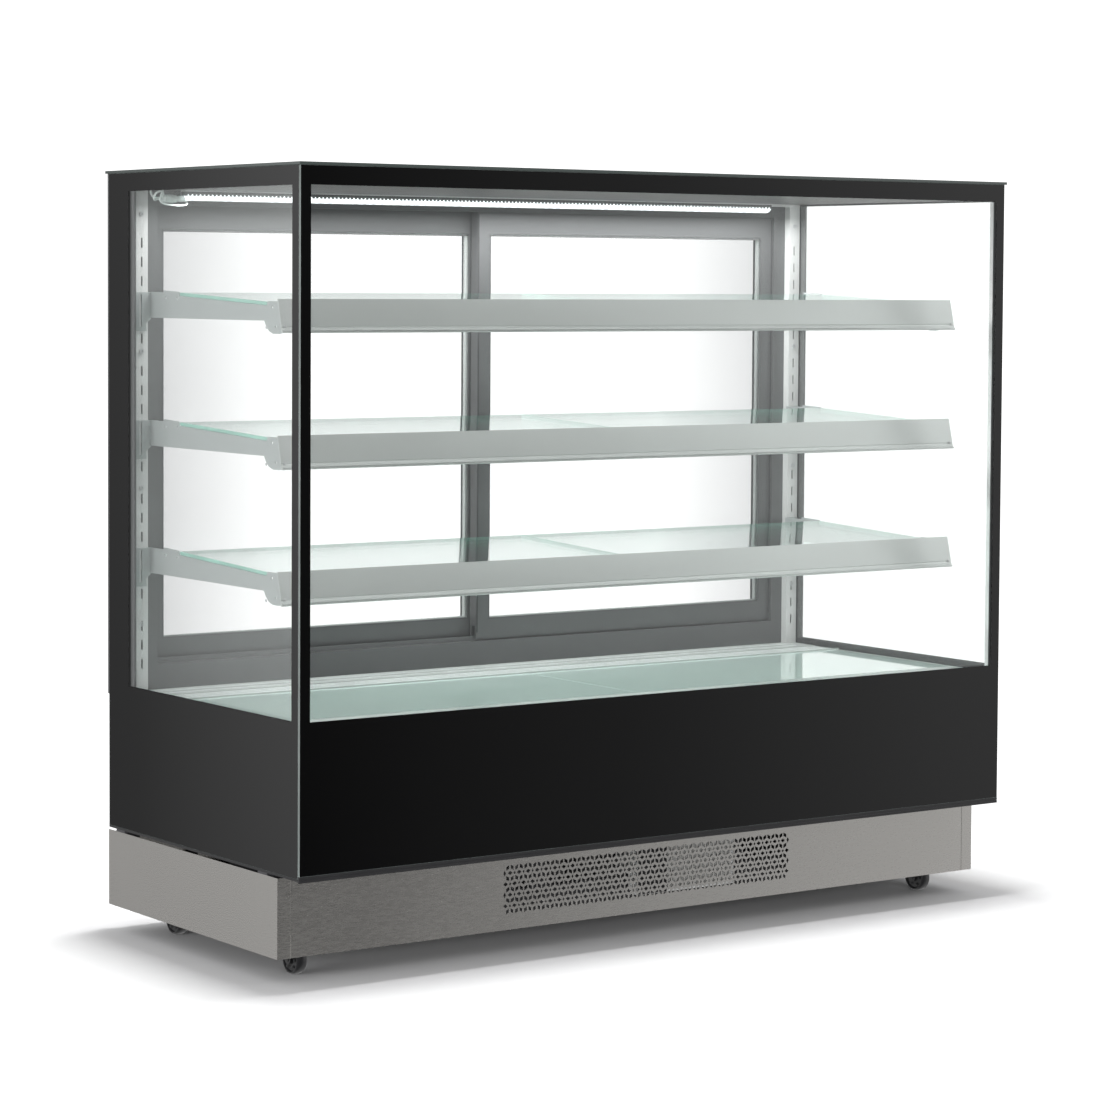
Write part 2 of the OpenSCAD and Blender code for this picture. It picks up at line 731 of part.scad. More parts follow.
module condenser() {
    y0 = plinth_y + 10.6;
    color("#b9bcbc") difference() {
        union() {
            bx(condenser_x[0], condenser_x[1], y0, y0 + 24, frame_z0 - 2, 250);
            bx(condenser_x[0], condenser_x[1], y0 + 24, y0 + 62, frame_z1 + 1, 250);
        }
        cyl_y(fan_x, y0 + 23, y0 + 64, fan_z + 12, 62);
    }
}

module fan_blades(r, hub_r, depth, count) {
    cylinder(r = hub_r, h = depth);
    for (i = [0:count - 1]) rotate([0, 0, i * 360 / count])
        translate([hub_r - 3, 0, depth / 2]) rotate([24, 0, 0])
            translate([0, -r * 0.22, -0.8]) cube([r - hub_r + 2, r * 0.44, 1.6]);
}

module condenser_fan() {
    y0 = plinth_y + 10.6;
    color("#2a2c2e") translate([fan_x, y0 + 34, fan_z + 12]) rotate([-90, 0, 0])
        fan_blades(54, 15, 20, 5);
}

module evaporator() {
    color("#c4c7c7") {
        bx(-508, 480, 60, 170, 306, 372);
        bx(-520, -508, 55, 175, 301, 374);
        bx(480, 492, 55, 175, 301, 374);
    }
}

module evaporator_fan() {
    color("#303335") translate([evap_fan_xy[0], evap_fan_xy[1], 310]) fan_blades(44, 13, 16, 5);
}

// ---------------------------------------------------------------- controls
module controller() {
    y0 = side_y1 + 1.5;
    color("#202224") {
        bx(564, 633, side_y1 - 58, y0, switch_z - 14, switch_z + 14);
        bx(560, 637, y0, y0 + 3, switch_z - 18, switch_z + 18);
        for (x = [light_x, power_x]) difference() {
            union() {
                bx(x - 11.5, x + 11.5, side_y1 - 20, y0, switch_z - 8.5, switch_z + 8.5);
                bx(x - 13.5, x + 13.5, y0, y0 + 1.5, switch_z - 10.5, switch_z + 10.5);
            }
            bx(x - 9, x + 9, side_y1 - 8, y0 + 3, switch_z - 7.2, switch_z + 7.2);
            cyl_x(x - 11, x + 11, side_y1 + 1, switch_z, 1.2 + bore_gap);
        }
    }
}

module rocker(x) {
    translate([x, side_y1 + 1, switch_z]) rotate([rocker_tilt, 0, 0]) {
        along_x(-8.5, 8.5) polygon([[-4, -5.5], [3.6, -6], [2.6, 0], [3.6, 6], [-4, 5.5]]);
        cyl_x(-10.5, 10.5, 0, 0, 1.2);
    }
}

module light_switch() { color("#2f7d46") rocker(light_x); }
module power_switch() { color("#9c2f2a") rocker(power_x); }

module cable_gland() {
    y0 = rear_plinth_y;
    color("#26282a") difference() {
        union() {
            cyl_y(gland_x, y0 - 12, y0, gland_z, 8.8);
            cyl_y(gland_x, y0, y0 + 8, gland_z, 12);
            cyl_y(gland_x, y0 + 8, y0 + 18, gland_z, 10);
            translate([gland_x, y0 - sheet, gland_z]) rotate([90, 0, 0]) cylinder(r = 12, h = 5);
        }
        cyl_y(gland_x, y0 - 13, y0 + 19, gland_z, 4.5);
    }
}

base_frame();
plinth_front_panel();
plinth_side_panels();
plinth_rear_panel();
tank_shell();
tank_liner();
rear_panel();
front_glass();
left_glass();
right_glass();
glass_spacers();
glass_enamel();
edge_trims();
top_panel();
top_lining();
rear_frame();
door_tracks();
deck_frame();
deck_ledge();
deck_glass();
shelf_standards();
standard_screws();
lamp_channel();
lamp_diffuser();
lamp_lead();
door_left_frame();
door_left_glass();
door_left_spacer();
door_left_rollers();
door_right_frame();
door_right_glass();
door_right_spacer();
door_right_rollers();
shelf_1_brackets();
shelf_1_rail();
shelf_1_glass();
shelf_2_brackets();
shelf_2_rail();
shelf_2_glass();
shelf_3_brackets();
shelf_3_rail();
shelf_3_glass();
caster_plates();
caster_fork_fl();
caster_fork_fr();
caster_fork_rl();
caster_fork_rr();
caster_wheel_fl();
caster_wheel_fr();
caster_wheel_rl();
caster_wheel_rr();
compressor();
condenser();
condenser_fan();
evaporator();
evaporator_fan();
controller();
light_switch();
power_switch();
cable_gland();
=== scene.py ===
import json
import math

import bmesh
import bpy
from mathutils import Matrix, Vector

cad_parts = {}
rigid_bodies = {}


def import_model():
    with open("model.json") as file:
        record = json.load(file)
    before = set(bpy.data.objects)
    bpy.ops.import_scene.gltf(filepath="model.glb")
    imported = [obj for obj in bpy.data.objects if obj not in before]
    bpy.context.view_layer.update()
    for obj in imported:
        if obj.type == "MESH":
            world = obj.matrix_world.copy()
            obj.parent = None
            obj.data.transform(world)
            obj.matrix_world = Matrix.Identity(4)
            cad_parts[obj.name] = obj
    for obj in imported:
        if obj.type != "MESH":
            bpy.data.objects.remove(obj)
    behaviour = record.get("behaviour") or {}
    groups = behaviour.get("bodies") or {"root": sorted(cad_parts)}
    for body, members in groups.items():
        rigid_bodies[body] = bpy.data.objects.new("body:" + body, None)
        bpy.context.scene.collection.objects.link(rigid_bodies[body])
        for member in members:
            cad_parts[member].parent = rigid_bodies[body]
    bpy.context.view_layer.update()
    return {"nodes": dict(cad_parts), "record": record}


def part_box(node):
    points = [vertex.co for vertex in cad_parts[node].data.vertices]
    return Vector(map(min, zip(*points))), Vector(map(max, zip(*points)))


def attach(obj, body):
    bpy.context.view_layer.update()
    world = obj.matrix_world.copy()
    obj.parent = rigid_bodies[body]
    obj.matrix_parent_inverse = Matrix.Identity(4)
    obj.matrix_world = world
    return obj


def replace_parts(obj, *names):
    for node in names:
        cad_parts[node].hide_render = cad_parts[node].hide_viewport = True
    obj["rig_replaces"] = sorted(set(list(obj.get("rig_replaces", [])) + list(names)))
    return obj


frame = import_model()

MM = 0.001
BODY_OF = {node: body
           for body, members in frame["record"]["behaviour"]["bodies"].items()
           for node in members}
SLOT_OF = {row["node"]: row["material_slot"] for row in frame["record"]["subparts"]}

SIDES = ("left", "right")
SHELVES = (1, 2, 3)
CORNERS = ("fl", "fr", "rl", "rr")
X_AXIS, Y_AXIS, Z_AXIS = 0, 1, 2

# The case and the windows in its printed glass, in millimetres
HALF_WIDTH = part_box("front_glass")[1][X_AXIS] / MM
HALF_DEPTH = -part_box("front_glass")[0][Y_AXIS] / MM
TOP_BORDER = 36
WINDOW_LOW = 432
WINDOW_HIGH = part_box("top_panel")[1][Z_AXIS] / MM - TOP_BORDER
FRONT_BORDER = 19.5
SIDE_FRONT_BORDER = 25.5
SIDE_REAR_BORDER = 75.7

# ------------------------------------------------------------------ camera
CAMERA_AT = Vector((-3.4272, -4.8004, 1.1342))
CAMERA_YAW = 0.6148          # radians, turned from +Y towards +X
CAMERA_PITCH = -0.051        # radians, below the horizon
CAMERA_ROLL = 0.0058
CAMERA_LENS = 107.98         # millimetres, for the sensor's width below
CAMERA_SENSOR = 36
CAMERA_SHIFT_Y = -1 / 11     # of the frame's width
CAMERA_REACH = 60            # metres


def make_camera():
    """The camera stands to the front left of the case, a little below its roof."""
    ahead = Vector((math.sin(CAMERA_YAW), math.cos(CAMERA_YAW), 0))
    right = Vector((math.cos(CAMERA_YAW), -math.sin(CAMERA_YAW), 0))
    up = Vector((0, 0, 1))
    view = ahead * math.cos(CAMERA_PITCH) + up * math.sin(CAMERA_PITCH)
    lift = up * math.cos(CAMERA_PITCH) - ahead * math.sin(CAMERA_PITCH)
    side = right * math.cos(CAMERA_ROLL) + lift * math.sin(CAMERA_ROLL)
    top = lift * math.cos(CAMERA_ROLL) - right * math.sin(CAMERA_ROLL)
    data = bpy.data.cameras.new("camera")
    data.lens = CAMERA_LENS
    data.sensor_width = CAMERA_SENSOR
    data.shift_y = CAMERA_SHIFT_Y
    data.clip_end = CAMERA_REACH
    camera = bpy.data.objects.new("camera", data)
    bpy.context.scene.collection.objects.link(camera)
    turn = Matrix((side, top, -view)).transposed().to_4x4()
    camera.matrix_world = Matrix.Translation(CAMERA_AT) @ turn
    bpy.context.scene.camera = camera


# ------------------------------------------------------------------ material helpers
class Nodes:
    """Short names for building a node tree."""

    def __init__(self, tree):
        self.tree = tree
        self.tree.nodes.clear()

    def node(self, kind, **values):
        """Adds a node and sets its properties."""
        made = self.tree.nodes.new(kind)
        for key, value in values.items():
            setattr(made, key, value)
        return made

    def link(self, source, target):
        """Joins an output to an input."""
        self.tree.links.new(source, target)

    def remap(self, value, low, high, from_low=0.3, from_high=0.7, **values):
        """Spreads a value over low to high; the usual from values are where noise mostly lies."""
        made = self.node("ShaderNodeMapRange", **values)
        made.inputs["From Min"].default_value = from_low
        made.inputs["From Max"].default_value = from_high
        made.inputs["To Min"].default_value = low
        made.inputs["To Max"].default_value = high
        self.link(value, made.inputs["Value"])
        return made.outputs["Result"]


class Look(Nodes):
    """A material with short names for the nodes that most looks share."""

    def __init__(self, name):
        self.mat = bpy.data.materials.new(name)
        self.mat.use_nodes = True
        super().__init__(self.mat.node_tree)
        self.out = self.node("ShaderNodeOutputMaterial")
        self.coords = self.node("ShaderNodeTexCoord").outputs["Object"]

    def principled(self, color, rough, metallic=0.0, **sockets):
        """Adds the look's main shader; sockets are its inputs by name, with _ for a space."""
        shader = self.node("ShaderNodeBsdfPrincipled")
        shader.inputs["Base Color"].default_value = (*color, 1)
        shader.inputs["Roughness"].default_value = rough
        shader.inputs["Metallic"].default_value = metallic
        for key, value in sockets.items():
            shader.inputs[key.replace("_", " ")].default_value = value
        self.link(shader.outputs[0], self.out.inputs["Surface"])
        return shader

    def noise(self, scale, detail=3.0, stretch=(1, 1, 1)):
        """Soft noise in the object's own space; a small stretch along an axis draws it out there."""
        mapping = self.node("ShaderNodeMapping")
        mapping.inputs["Scale"].default_value = stretch
        self.link(self.coords, mapping.inputs["Vector"])
        made = self.node("ShaderNodeTexNoise")
        made.inputs["Scale"].default_value = scale
        made.inputs["Detail"].default_value = detail
        self.link(mapping.outputs[0], made.inputs["Vector"])
        return made.outputs["Fac"]

    def tone(self, value, dark, light):
        """Colour between two tones, picked by a 0 to 1 value."""
        mix = self.node("ShaderNodeMix", data_type="RGBA")
        mix.inputs["A"].default_value = (*dark, 1)
        mix.inputs["B"].default_value = (*light, 1)
        self.link(value, mix.inputs["Factor"])
        return mix.outputs["Result"]

    def bump(self, height, strength, distance, shader):
        """Raises the shader's surface by height; distance is in metres."""
        made = self.node("ShaderNodeBump")
        made.inputs["Strength"].default_value = strength
        made.inputs["Distance"].default_value = distance
        self.link(height, made.inputs["Height"])
        self.link(made.outputs["Normal"], shader.inputs["Normal"])


def scaled(color, k):
    """A colour made lighter or darker."""
    return tuple(min(1.0, c * k) for c in color)


BRUSH_SCALE = 700            # brush lines to a metre, about
BRUSH_DEPTH = 0.00005        # metres
GRAIN_DEPTH = 0.0002


def brushed(name, color, grain, rough, contrast, bump, metallic=1.0):
    """Sheet metal with a grain: grain is the scale along each axis, small along the brush lines."""
    look = Look(name)
    shader = look.principled(color, rough, metallic)
    lines = look.noise(BRUSH_SCALE, 2, grain)
    cloud = look.noise(2.3, 2)
    look.link(look.tone(look.remap(lines, 0, 1), scaled(color, 1 - contrast), scaled(color, 1 + contrast)),
              shader.inputs["Base Color"])
    total = look.node("ShaderNodeMath", operation="ADD")
    look.link(look.remap(lines, rough - 0.03, rough + 0.04), total.inputs[0])
    look.link(look.remap(cloud, -0.02, 0.03), total.inputs[1])
    look.link(total.outputs[0], shader.inputs["Roughness"])
    look.bump(lines, bump, BRUSH_DEPTH, shader)
    return look.mat


def moulded(name, color, rough, grain=900, bump=0.08, spread=0.12):
    """Plastic, rubber or paint with a fine surface grain and slight patches of wear."""
    look = Look(name)
    shader = look.principled(color, rough)
    fine = look.noise(grain, 2)
    patches = look.noise(9, 4)
    look.link(look.tone(look.remap(patches, 0, 1), scaled(color, 1 - spread), scaled(color, 1 + spread)),
              shader.inputs["Base Color"])
    look.link(look.remap(patches, rough - 0.06, rough + 0.08), shader.inputs["Roughness"])
    look.bump(fine, bump, GRAIN_DEPTH, shader)
    return look.mat


SQUARE_ON_MIRROR = 0.032     # share of light that a pane mirrors when seen square on
DOOR_MIRROR = 0.012
SMUDGE_ROUGHNESS = 0.006


def mirror_share(look, base):
    """How much a flat pane mirrors: base when seen square on, nearly all at a grazing angle."""
    facing = look.node("ShaderNodeLayerWeight")
    facing.inputs["Blend"].default_value = 0.5
    rise = look.node("ShaderNodeMath", operation="POWER")
    rise.inputs[1].default_value = 5
    look.link(facing.outputs["Facing"], rise.inputs[0])
    share = look.node("ShaderNodeMath", operation="MULTIPLY_ADD")
    share.inputs[1].default_value = 1 - base
    share.inputs[2].default_value = base
    look.link(rise.outputs[0], share.inputs[0])
    return share.outputs[0]


def clear_and_mirror(look, tint, base):
    """Fills a look with see-through glass; returns the socket of its tint."""
    clear = look.node("ShaderNodeBsdfTransparent")
    haze = look.noise(3.5, 4)
    look.link(look.tone(look.remap(haze, 0, 1), scaled(tint, 0.994), tint), clear.inputs["Color"])
    mirror = look.node("ShaderNodeBsdfGlossy")
    mirror.inputs["Color"].default_value = (0.97, 1.0, 0.99, 1)
    look.link(look.remap(haze, 0, SMUDGE_ROUGHNESS), mirror.inputs["Roughness"])
    mix = look.node("ShaderNodeMixShader")
    look.link(mirror_share(look, base), mix.inputs["Fac"])
    look.link(clear.outputs[0], mix.inputs[1])
    look.link(mirror.outputs[0], mix.inputs[2])
    look.link(mix.outputs[0], look.out.inputs["Surface"])
    return clear.inputs["Color"]


def pane_look(name, tint):
    """Clear flat glass: straight through with a slight tint, and mirror-like at grazing angles."""
    look = Look(name)
    clear_and_mirror(look, tint, SQUARE_ON_MIRROR)
    return look.mat


def door_pane_look():
    """Door glazing with painted shade: its tint greys towards the outer stiles; the distances are from the
    case's middle.
    """
    look = Look("door_pane")
    tint = clear_and_mirror(look, (1, 1, 1), DOOR_MIRROR)
    axes = look.node("ShaderNodeSeparateXYZ")
    look.link(look.coords, axes.inputs[0])
    away = look.node("ShaderNodeMath", operation="ABSOLUTE")
    look.link(axes.outputs["X"], away.inputs[0])
    # painted shade: the clear tint darkens to grey towards each outer stile
    painted_shade_amount = look.remap(away.outputs[0], 0, 1, from_low=0.42, from_high=0.66)
    look.link(look.tone(painted_shade_amount, (0.999, 1.0, 1.0), (0.90, 0.901, 0.903)), tint)
    return look.mat


def deck_look():
    """The deck's glass lies on a pale green backing, so it is glossy but not clear."""
    look = Look("deck_pane")
    shader = look.principled((0.70, 0.83, 0.79), 0.05, Coat_Weight=0.6, Coat_Roughness=0.03)
    cloud = look.noise(2.2, 3)
    look.link(look.tone(look.remap(cloud, 0, 1), (0.72, 0.85, 0.81), (0.79, 0.92, 0.88)),
              shader.inputs["Base Color"])
    look.link(look.remap(cloud, 0.04, 0.09), shader.inputs["Roughness"])
    return look.mat


def print_look():
    """Black print behind glass: the pane in front of it makes the gloss."""
    look = Look("enamel_print")
    color = (0.0011, 0.0011, 0.0012)
    shader = look.principled(color, 0.8, Specular_IOR_Level=0.0)
    cloud = look.noise(1.6, 4)
    look.link(look.tone(look.remap(cloud, 0, 1), scaled(color, 0.85), scaled(color, 1.2)),
              shader.inputs["Base Color"])
    return look.mat


def print_gloss_look():
    """The printed borders seen through the outer pane: deep black with the pane's gloss."""
    look = Look("print_gloss")
    shader = look.principled((0.0011, 0.0011, 0.0012), 0.03, IOR=1.43)
    cloud = look.noise(1.6, 4)
    look.link(look.tone(look.remap(cloud, 0, 1), (0.0009, 0.0009, 0.001), (0.0013, 0.0013, 0.0014)),
              shader.inputs["Base Color"])
    look.link(look.remap(cloud, 0.02, 0.04), shader.inputs["Roughness"])
    return look.mat


def roof_look():
    """Black backed roof glass with a slightly green ground edge on its sides."""
    look = Look("roof_print")
    shader = look.principled((0.012, 0.014, 0.014), 0.06)
    geometry = look.node("ShaderNodeNewGeometry")
    axes = look.node("ShaderNodeSeparateXYZ")
    look.link(geometry.outputs["Normal"], axes.inputs[0])
    rise = look.node("ShaderNodeMath", operation="ABSOLUTE")
    look.link(axes.outputs["Z"], rise.inputs[0])
    cloud = look.noise(4, 3)
    upward = look.remap(rise.outputs[0], 0, 1, from_low=0.2, from_high=0.8)
    look.link(look.tone(upward, (0.045, 0.055, 0.052), (0.010, 0.012, 0.012)),
              shader.inputs["Base Color"])
    look.link(look.remap(cloud, 0.04, 0.10), shader.inputs["Roughness"])
    return look.mat


def translucent_look():
    """Milky moulded plastic that lets some of the light behind it through."""
    look = Look("lead_translucent")
    color = (0.80, 0.86, 0.84)
    shader = look.principled(color, 0.14, Coat_Weight=0.5)
    cloud = look.noise(120, 3)
    look.link(look.tone(look.remap(cloud, 0, 1), scaled(color, 0.9), scaled(color, 1.1)),
              shader.inputs["Base Color"])
    clear = look.node("ShaderNodeBsdfTransparent")
    clear.inputs["Color"].default_value = (0.92, 0.96, 0.95, 1)
    mix = look.node("ShaderNodeMixShader")
    look.link(look.remap(cloud, 0.35, 0.5), mix.inputs["Fac"])
    look.link(shader.outputs[0], mix.inputs[1])
    look.link(clear.outputs[0], mix.inputs[2])
    look.link(mix.outputs[0], look.out.inputs["Surface"])
    return look.mat


def glass_edge_look(name, color):
    """The ground edge of a pane, where its green depth shows."""
    look = Look(name)
    rough = 0.16
    shader = look.principled(color, rough, Coat_Weight=0.4)
    patches = look.noise(14)
    look.link(look.tone(look.remap(patches, 0, 1), scaled(color, 0.82), scaled(color, 1.15)),
              shader.inputs["Base Color"])
    look.link(look.remap(patches, rough - 0.04, rough + 0.1), shader.inputs["Roughness"])
    return look.mat


def lamp_look():
    """The lit diffuser, brighter over each light chip of the strip."""
    look = Look("lamp_glow")
    glow = look.node("ShaderNodeEmission")
    glow.inputs["Color"].default_value = (0.93, 0.98, 1.0, 1)
    chips = look.node("ShaderNodeTexWave", wave_type="BANDS", bands_direction="X")
    chips.inputs["Scale"].default_value = 17
    look.link(look.coords, chips.inputs["Vector"])
    look.link(look.remap(chips.outputs["Fac"], 1.5, 2.4, from_low=0, from_high=1),
              glow.inputs["Strength"])
    look.link(glow.outputs[0], look.out.inputs["Surface"])
    return look.mat


# Grain of sheet metal: the way its brush lines run
ALONG_X = (0.02, 1, 1)
ALONG_Y = (1, 0.02, 1)
ALONG_Z = (1, 1, 0.02)
EVEN = (1, 1, 1)

LOOKS = {
    "frame_black": moulded("frame_paint", (0.035, 0.035, 0.038), rough=0.42),
    "plinth_steel": brushed("plinth_brushed", (0.60, 0.585, 0.56), (0.12, 1, 1),
                            rough=0.27, contrast=0.03, bump=0.0),
    "tub_skin": moulded("tub_paint", (0.60, 0.61, 0.60), rough=0.5),
    "stainless": brushed("stainless_satin", (0.66, 0.68, 0.68), ALONG_X,
                         rough=0.32, contrast=0.015, bump=0.02, metallic=0.55),
    "spacer_dark": moulded("spacer_seal", (0.018, 0.018, 0.02), rough=0.6),
    "black_enamel": print_look(),
    "black_trim": moulded("trim_plastic", (0.012, 0.012, 0.013), rough=0.38),
    "roof_glass": roof_look(),
    "frame_steel": brushed("frame_satin", (0.112, 0.115, 0.117), ALONG_X,
                           rough=0.4, contrast=0.03, bump=0.02, metallic=0.4),
    "aluminium": brushed("mill_aluminium", (0.68, 0.69, 0.69), ALONG_X,
                         rough=0.34, contrast=0.04, bump=0.12, metallic=0.5),
    "screw_steel": brushed("screw_zinc", (0.55, 0.56, 0.57), EVEN,
                           rough=0.3, contrast=0.08, bump=0.1, metallic=0.6),
    "lamp_white": lamp_look(),
    "lead_clear": translucent_look(),
    "zinc_steel": brushed("zinc_plate", (0.40, 0.41, 0.42), (0.3, 1, 1),
                          rough=0.38, contrast=0.08, bump=0.12, metallic=0.8),
    "compressor_black": moulded("compressor_enamel", (0.02, 0.02, 0.022), rough=0.3),
    "fan_black": moulded("fan_plastic", (0.03, 0.03, 0.033), rough=0.4),
    "black_plastic": moulded("housing_plastic", (0.02, 0.02, 0.022), rough=0.42, grain=1400, bump=0.15),
    "switch_green": moulded("rocker_green", (0.03, 0.30, 0.07), rough=0.22, bump=0.02),
    "switch_red": moulded("rocker_red", (0.38, 0.02, 0.015), rough=0.22, bump=0.02),
    "roller_nylon": moulded("nylon", (0.68, 0.66, 0.58), rough=0.5),
    "bracket_steel": brushed("bracket_satin", (0.40, 0.43, 0.428), ALONG_Y,
                             rough=0.36, contrast=0.02, bump=0.03, metallic=0.4),
    "rail_aluminium": brushed("rail_anodised", (0.53, 0.56, 0.547), ALONG_X,
                              rough=0.32, contrast=0.014, bump=0.02, metallic=0.6),
    "wheel_rubber": moulded("wheel_tread", (0.012, 0.012, 0.013), rough=0.3, grain=700, bump=0.1),
    "clear_glass": pane_look("clear_pane", (0.998, 1.0, 0.999)),
    "green_glass": pane_look("shelf_pane", (0.935, 0.968, 0.957)),
}
DOOR_PANE = door_pane_look()
DECK_PANE = deck_look()
PRINT_GLOSS = print_gloss_look()
PANE_EDGE = glass_edge_look("pane_edge", (0.14, 0.16, 0.155))
SHELF_EDGE = glass_edge_look("shelf_edge", (0.24, 0.45, 0.38))
SPACER_METAL = brushed("spacer_aluminium", (0.62, 0.65, 0.64), EVEN,
                       rough=0.4, contrast=0.1, bump=0.1, metallic=0.4)
CASTER_STEEL = moulded("caster_paint", (0.02, 0.02, 0.021), rough=0.35)
BRUSH_SEAL = moulded("seal_pile", (0.05, 0.05, 0.052), rough=0.9, grain=1600, bump=0.5, spread=0.3)
DISPLAY = moulded("display_window", (0.05, 0.006, 0.006), rough=0.12, grain=600, bump=0.0)
BRIGHT_STUD = moulded("stud_white", (0.85, 0.87, 0.87), rough=0.2, grain=800, bump=0.02, spread=0.03)
CONDENSER_FIN = brushed("fin_stock", (0.27, 0.265, 0.25), ALONG_Z,
                        rough=0.4, contrast=0.06, bump=0.1, metallic=0.35)
# painted shade: the roof lining's dark satin is made darker still, standing in for the shade under the
# roof
LINING_PAINTED_SHADE = brushed("lining_satin_painted_shade", (0.085, 0.084, 0.081), ALONG_X,
                 rough=0.4, contrast=0.04, bump=0.05, metallic=0.45)
STANDARD = brushed("standard_bright", (0.60, 0.61, 0.605), ALONG_Z,
                   rough=0.34, contrast=0.015, bump=0.0, metallic=0.3)
LEDGE = moulded("ledge_satin", (0.39, 0.42, 0.41), rough=0.36, grain=300, bump=0.0, spread=0.02)
# painted highlight: the stainless beads are coloured much lighter than the ledge, standing in for light on
# their ridges
BEAD_PAINTED_HIGHLIGHT = moulded("bead_painted_highlight", (0.80, 0.84, 0.83), rough=0.3, grain=300, bump=0.0, spread=0.02)
TRACK = brushed("track_satin", (0.13, 0.133, 0.135), ALONG_X,
                rough=0.4, contrast=0.04, bump=0.1, metallic=0.4)
GASKET = moulded("glazing_bead", (0.075, 0.077, 0.078), rough=0.5, bump=0.05)
# painted light: the print's grey back is coloured near white, standing in for light falling on it
PRINT_BACK_PAINTED_LIGHT = moulded("print_back_painted_light", (0.80, 0.80, 0.80), rough=0.4, grain=500, bump=0.02)
LED_TOOTH = brushed("lamp_teeth", (0.12, 0.125, 0.125), EVEN,
                    rough=0.4, contrast=0.1, bump=0.1, metallic=0.4)


# ------------------------------------------------------------------ piece helpers
WELD = 1e-6                  # metres between points that are one
CUT_REACH = 1e-7             # metres from a cutting plane within which a point lies on it
SAME_PLANE = 1e-5            # metres between faces that lie in one plane
FLAT_ANGLE = math.radians(0.5)
SHARP_ANGLE = math.radians(35)
CREASE_ANGLE = math.radians(25)
ROUND_PROFILE = 0.7          # how full a broken edge is
PANE_CHAMFER = 0.6           # millimetres
PANE_SHRINK = 0.03           # millimetres that keep a pane's faces off the print


def place(piece, body, slot, *materials):
    """Gives a finished piece its looks and lets it ride on a body."""
    for material in materials:
        piece.data.materials.append(material)
    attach(piece, body)
    return piece


def new_piece(name, mesh):
    """Adds a mesh to the scene as an object."""
    piece = bpy.data.objects.new(name, mesh)
    bpy.context.scene.collection.objects.link(piece)
    return piece


def clean_copy(node):
    """A bmesh of a CAD node with its flat faces whole again."""
    bm = bmesh.new()
    bm.from_mesh(frame["nodes"][node].data)
    bmesh.ops.remove_doubles(bm, verts=bm.verts, dist=WELD)
    bmesh.ops.dissolve_limit(bm, angle_limit=FLAT_ANGLE, verts=bm.verts, edges=bm.edges)
    return bm


def sharp_edges(bm):
    """The edges where two faces meet at a clear angle."""
    return [e for e in bm.edges if len(e.link_faces) == 2 and e.calc_face_angle(0) > SHARP_ANGLE]


def split_at(bm, point, normal):
    """Cuts every face along a plane, in metres, and keeps both sides."""
    bmesh.ops.bisect_plane(bm, geom=bm.verts[:] + bm.edges[:] + bm.faces[:], dist=CUT_REACH,
                           plane_co=point, plane_no=normal)


def mesh_of(name, bm):
    """Makes a mesh of a bmesh, smooth but for its sharp edges."""
    for face in bm.faces:
        face.smooth = True
    mesh = bpy.data.meshes.new(name)
    bm.to_mesh(mesh)
    bm.free()
    mesh.set_sharp_from_angle(angle=CREASE_ANGLE)
    return mesh


def refined(node, width, material=None):
    """Replaces a CAD node by the same shape with its sharp edges broken by a small radius."""
    bm = clean_copy(node)
    bmesh.ops.bevel(bm, geom=sharp_edges(bm), offset=width * MM, segments=2,
                    profile=ROUND_PROFILE, affect="EDGES", clamp_overlap=True)
    piece = new_piece(node + "_refined", mesh_of(node + "_refined", bm))
    slot = SLOT_OF[node]
    place(piece, BODY_OF[node], slot, material or LOOKS[slot])
    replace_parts(piece, node)


def pane_piece(node, thin, pane, edge, window=()):
    """Replaces a glass node by panes with ground, chamfered edges; thin is the axis through the glass.

    window lists (axis, low, high) of the clear part; around it the outermost face shows the print.
    """
    bm = clean_copy(node)
    bmesh.ops.bevel(bm, geom=sharp_edges(bm), offset=PANE_CHAMFER * MM, segments=1,
                    profile=0.5, affect="EDGES", clamp_overlap=True)
    for axis, *limits in window:
        across = Vector([float(k == axis) for k in range(3)])
        for limit in limits:
            split_at(bm, across * limit * MM, across)
    outside = max(abs(vert.co[thin]) for vert in bm.verts)
    flat, ground, printed = 0, 1, 2
    for face in bm.faces:
        centre = face.calc_center_median()
        face.material_index = flat if abs(face.normal[thin]) > 0.99 else ground
        if face.material_index == flat and abs(centre[thin]) > outside - SAME_PLANE:
            if any(not low < centre[axis] / MM < high for axis, low, high in window):
                face.material_index = printed
    for vert in bm.verts:
        vert.co -= vert.normal * PANE_SHRINK * MM
    mesh = bpy.data.meshes.new(node + "_panes")
    bm.to_mesh(mesh)
    bm.free()
    piece = new_piece(node + "_panes", mesh)
    place(piece, BODY_OF[node], SLOT_OF[node], pane, edge, PRINT_GLOSS)
    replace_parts(piece, node)


def keep_cad(node, material=None):
    """Gives a CAD node its look without touching its shape."""
    holder = frame["nodes"][node]
    if not holder.material_slots:
        holder.data.materials.append(None)
    for slot in holder.material_slots:
        slot.material = material or LOOKS[SLOT_OF[node]]


# ------------------------------------------------------------------ the case
make_camera()

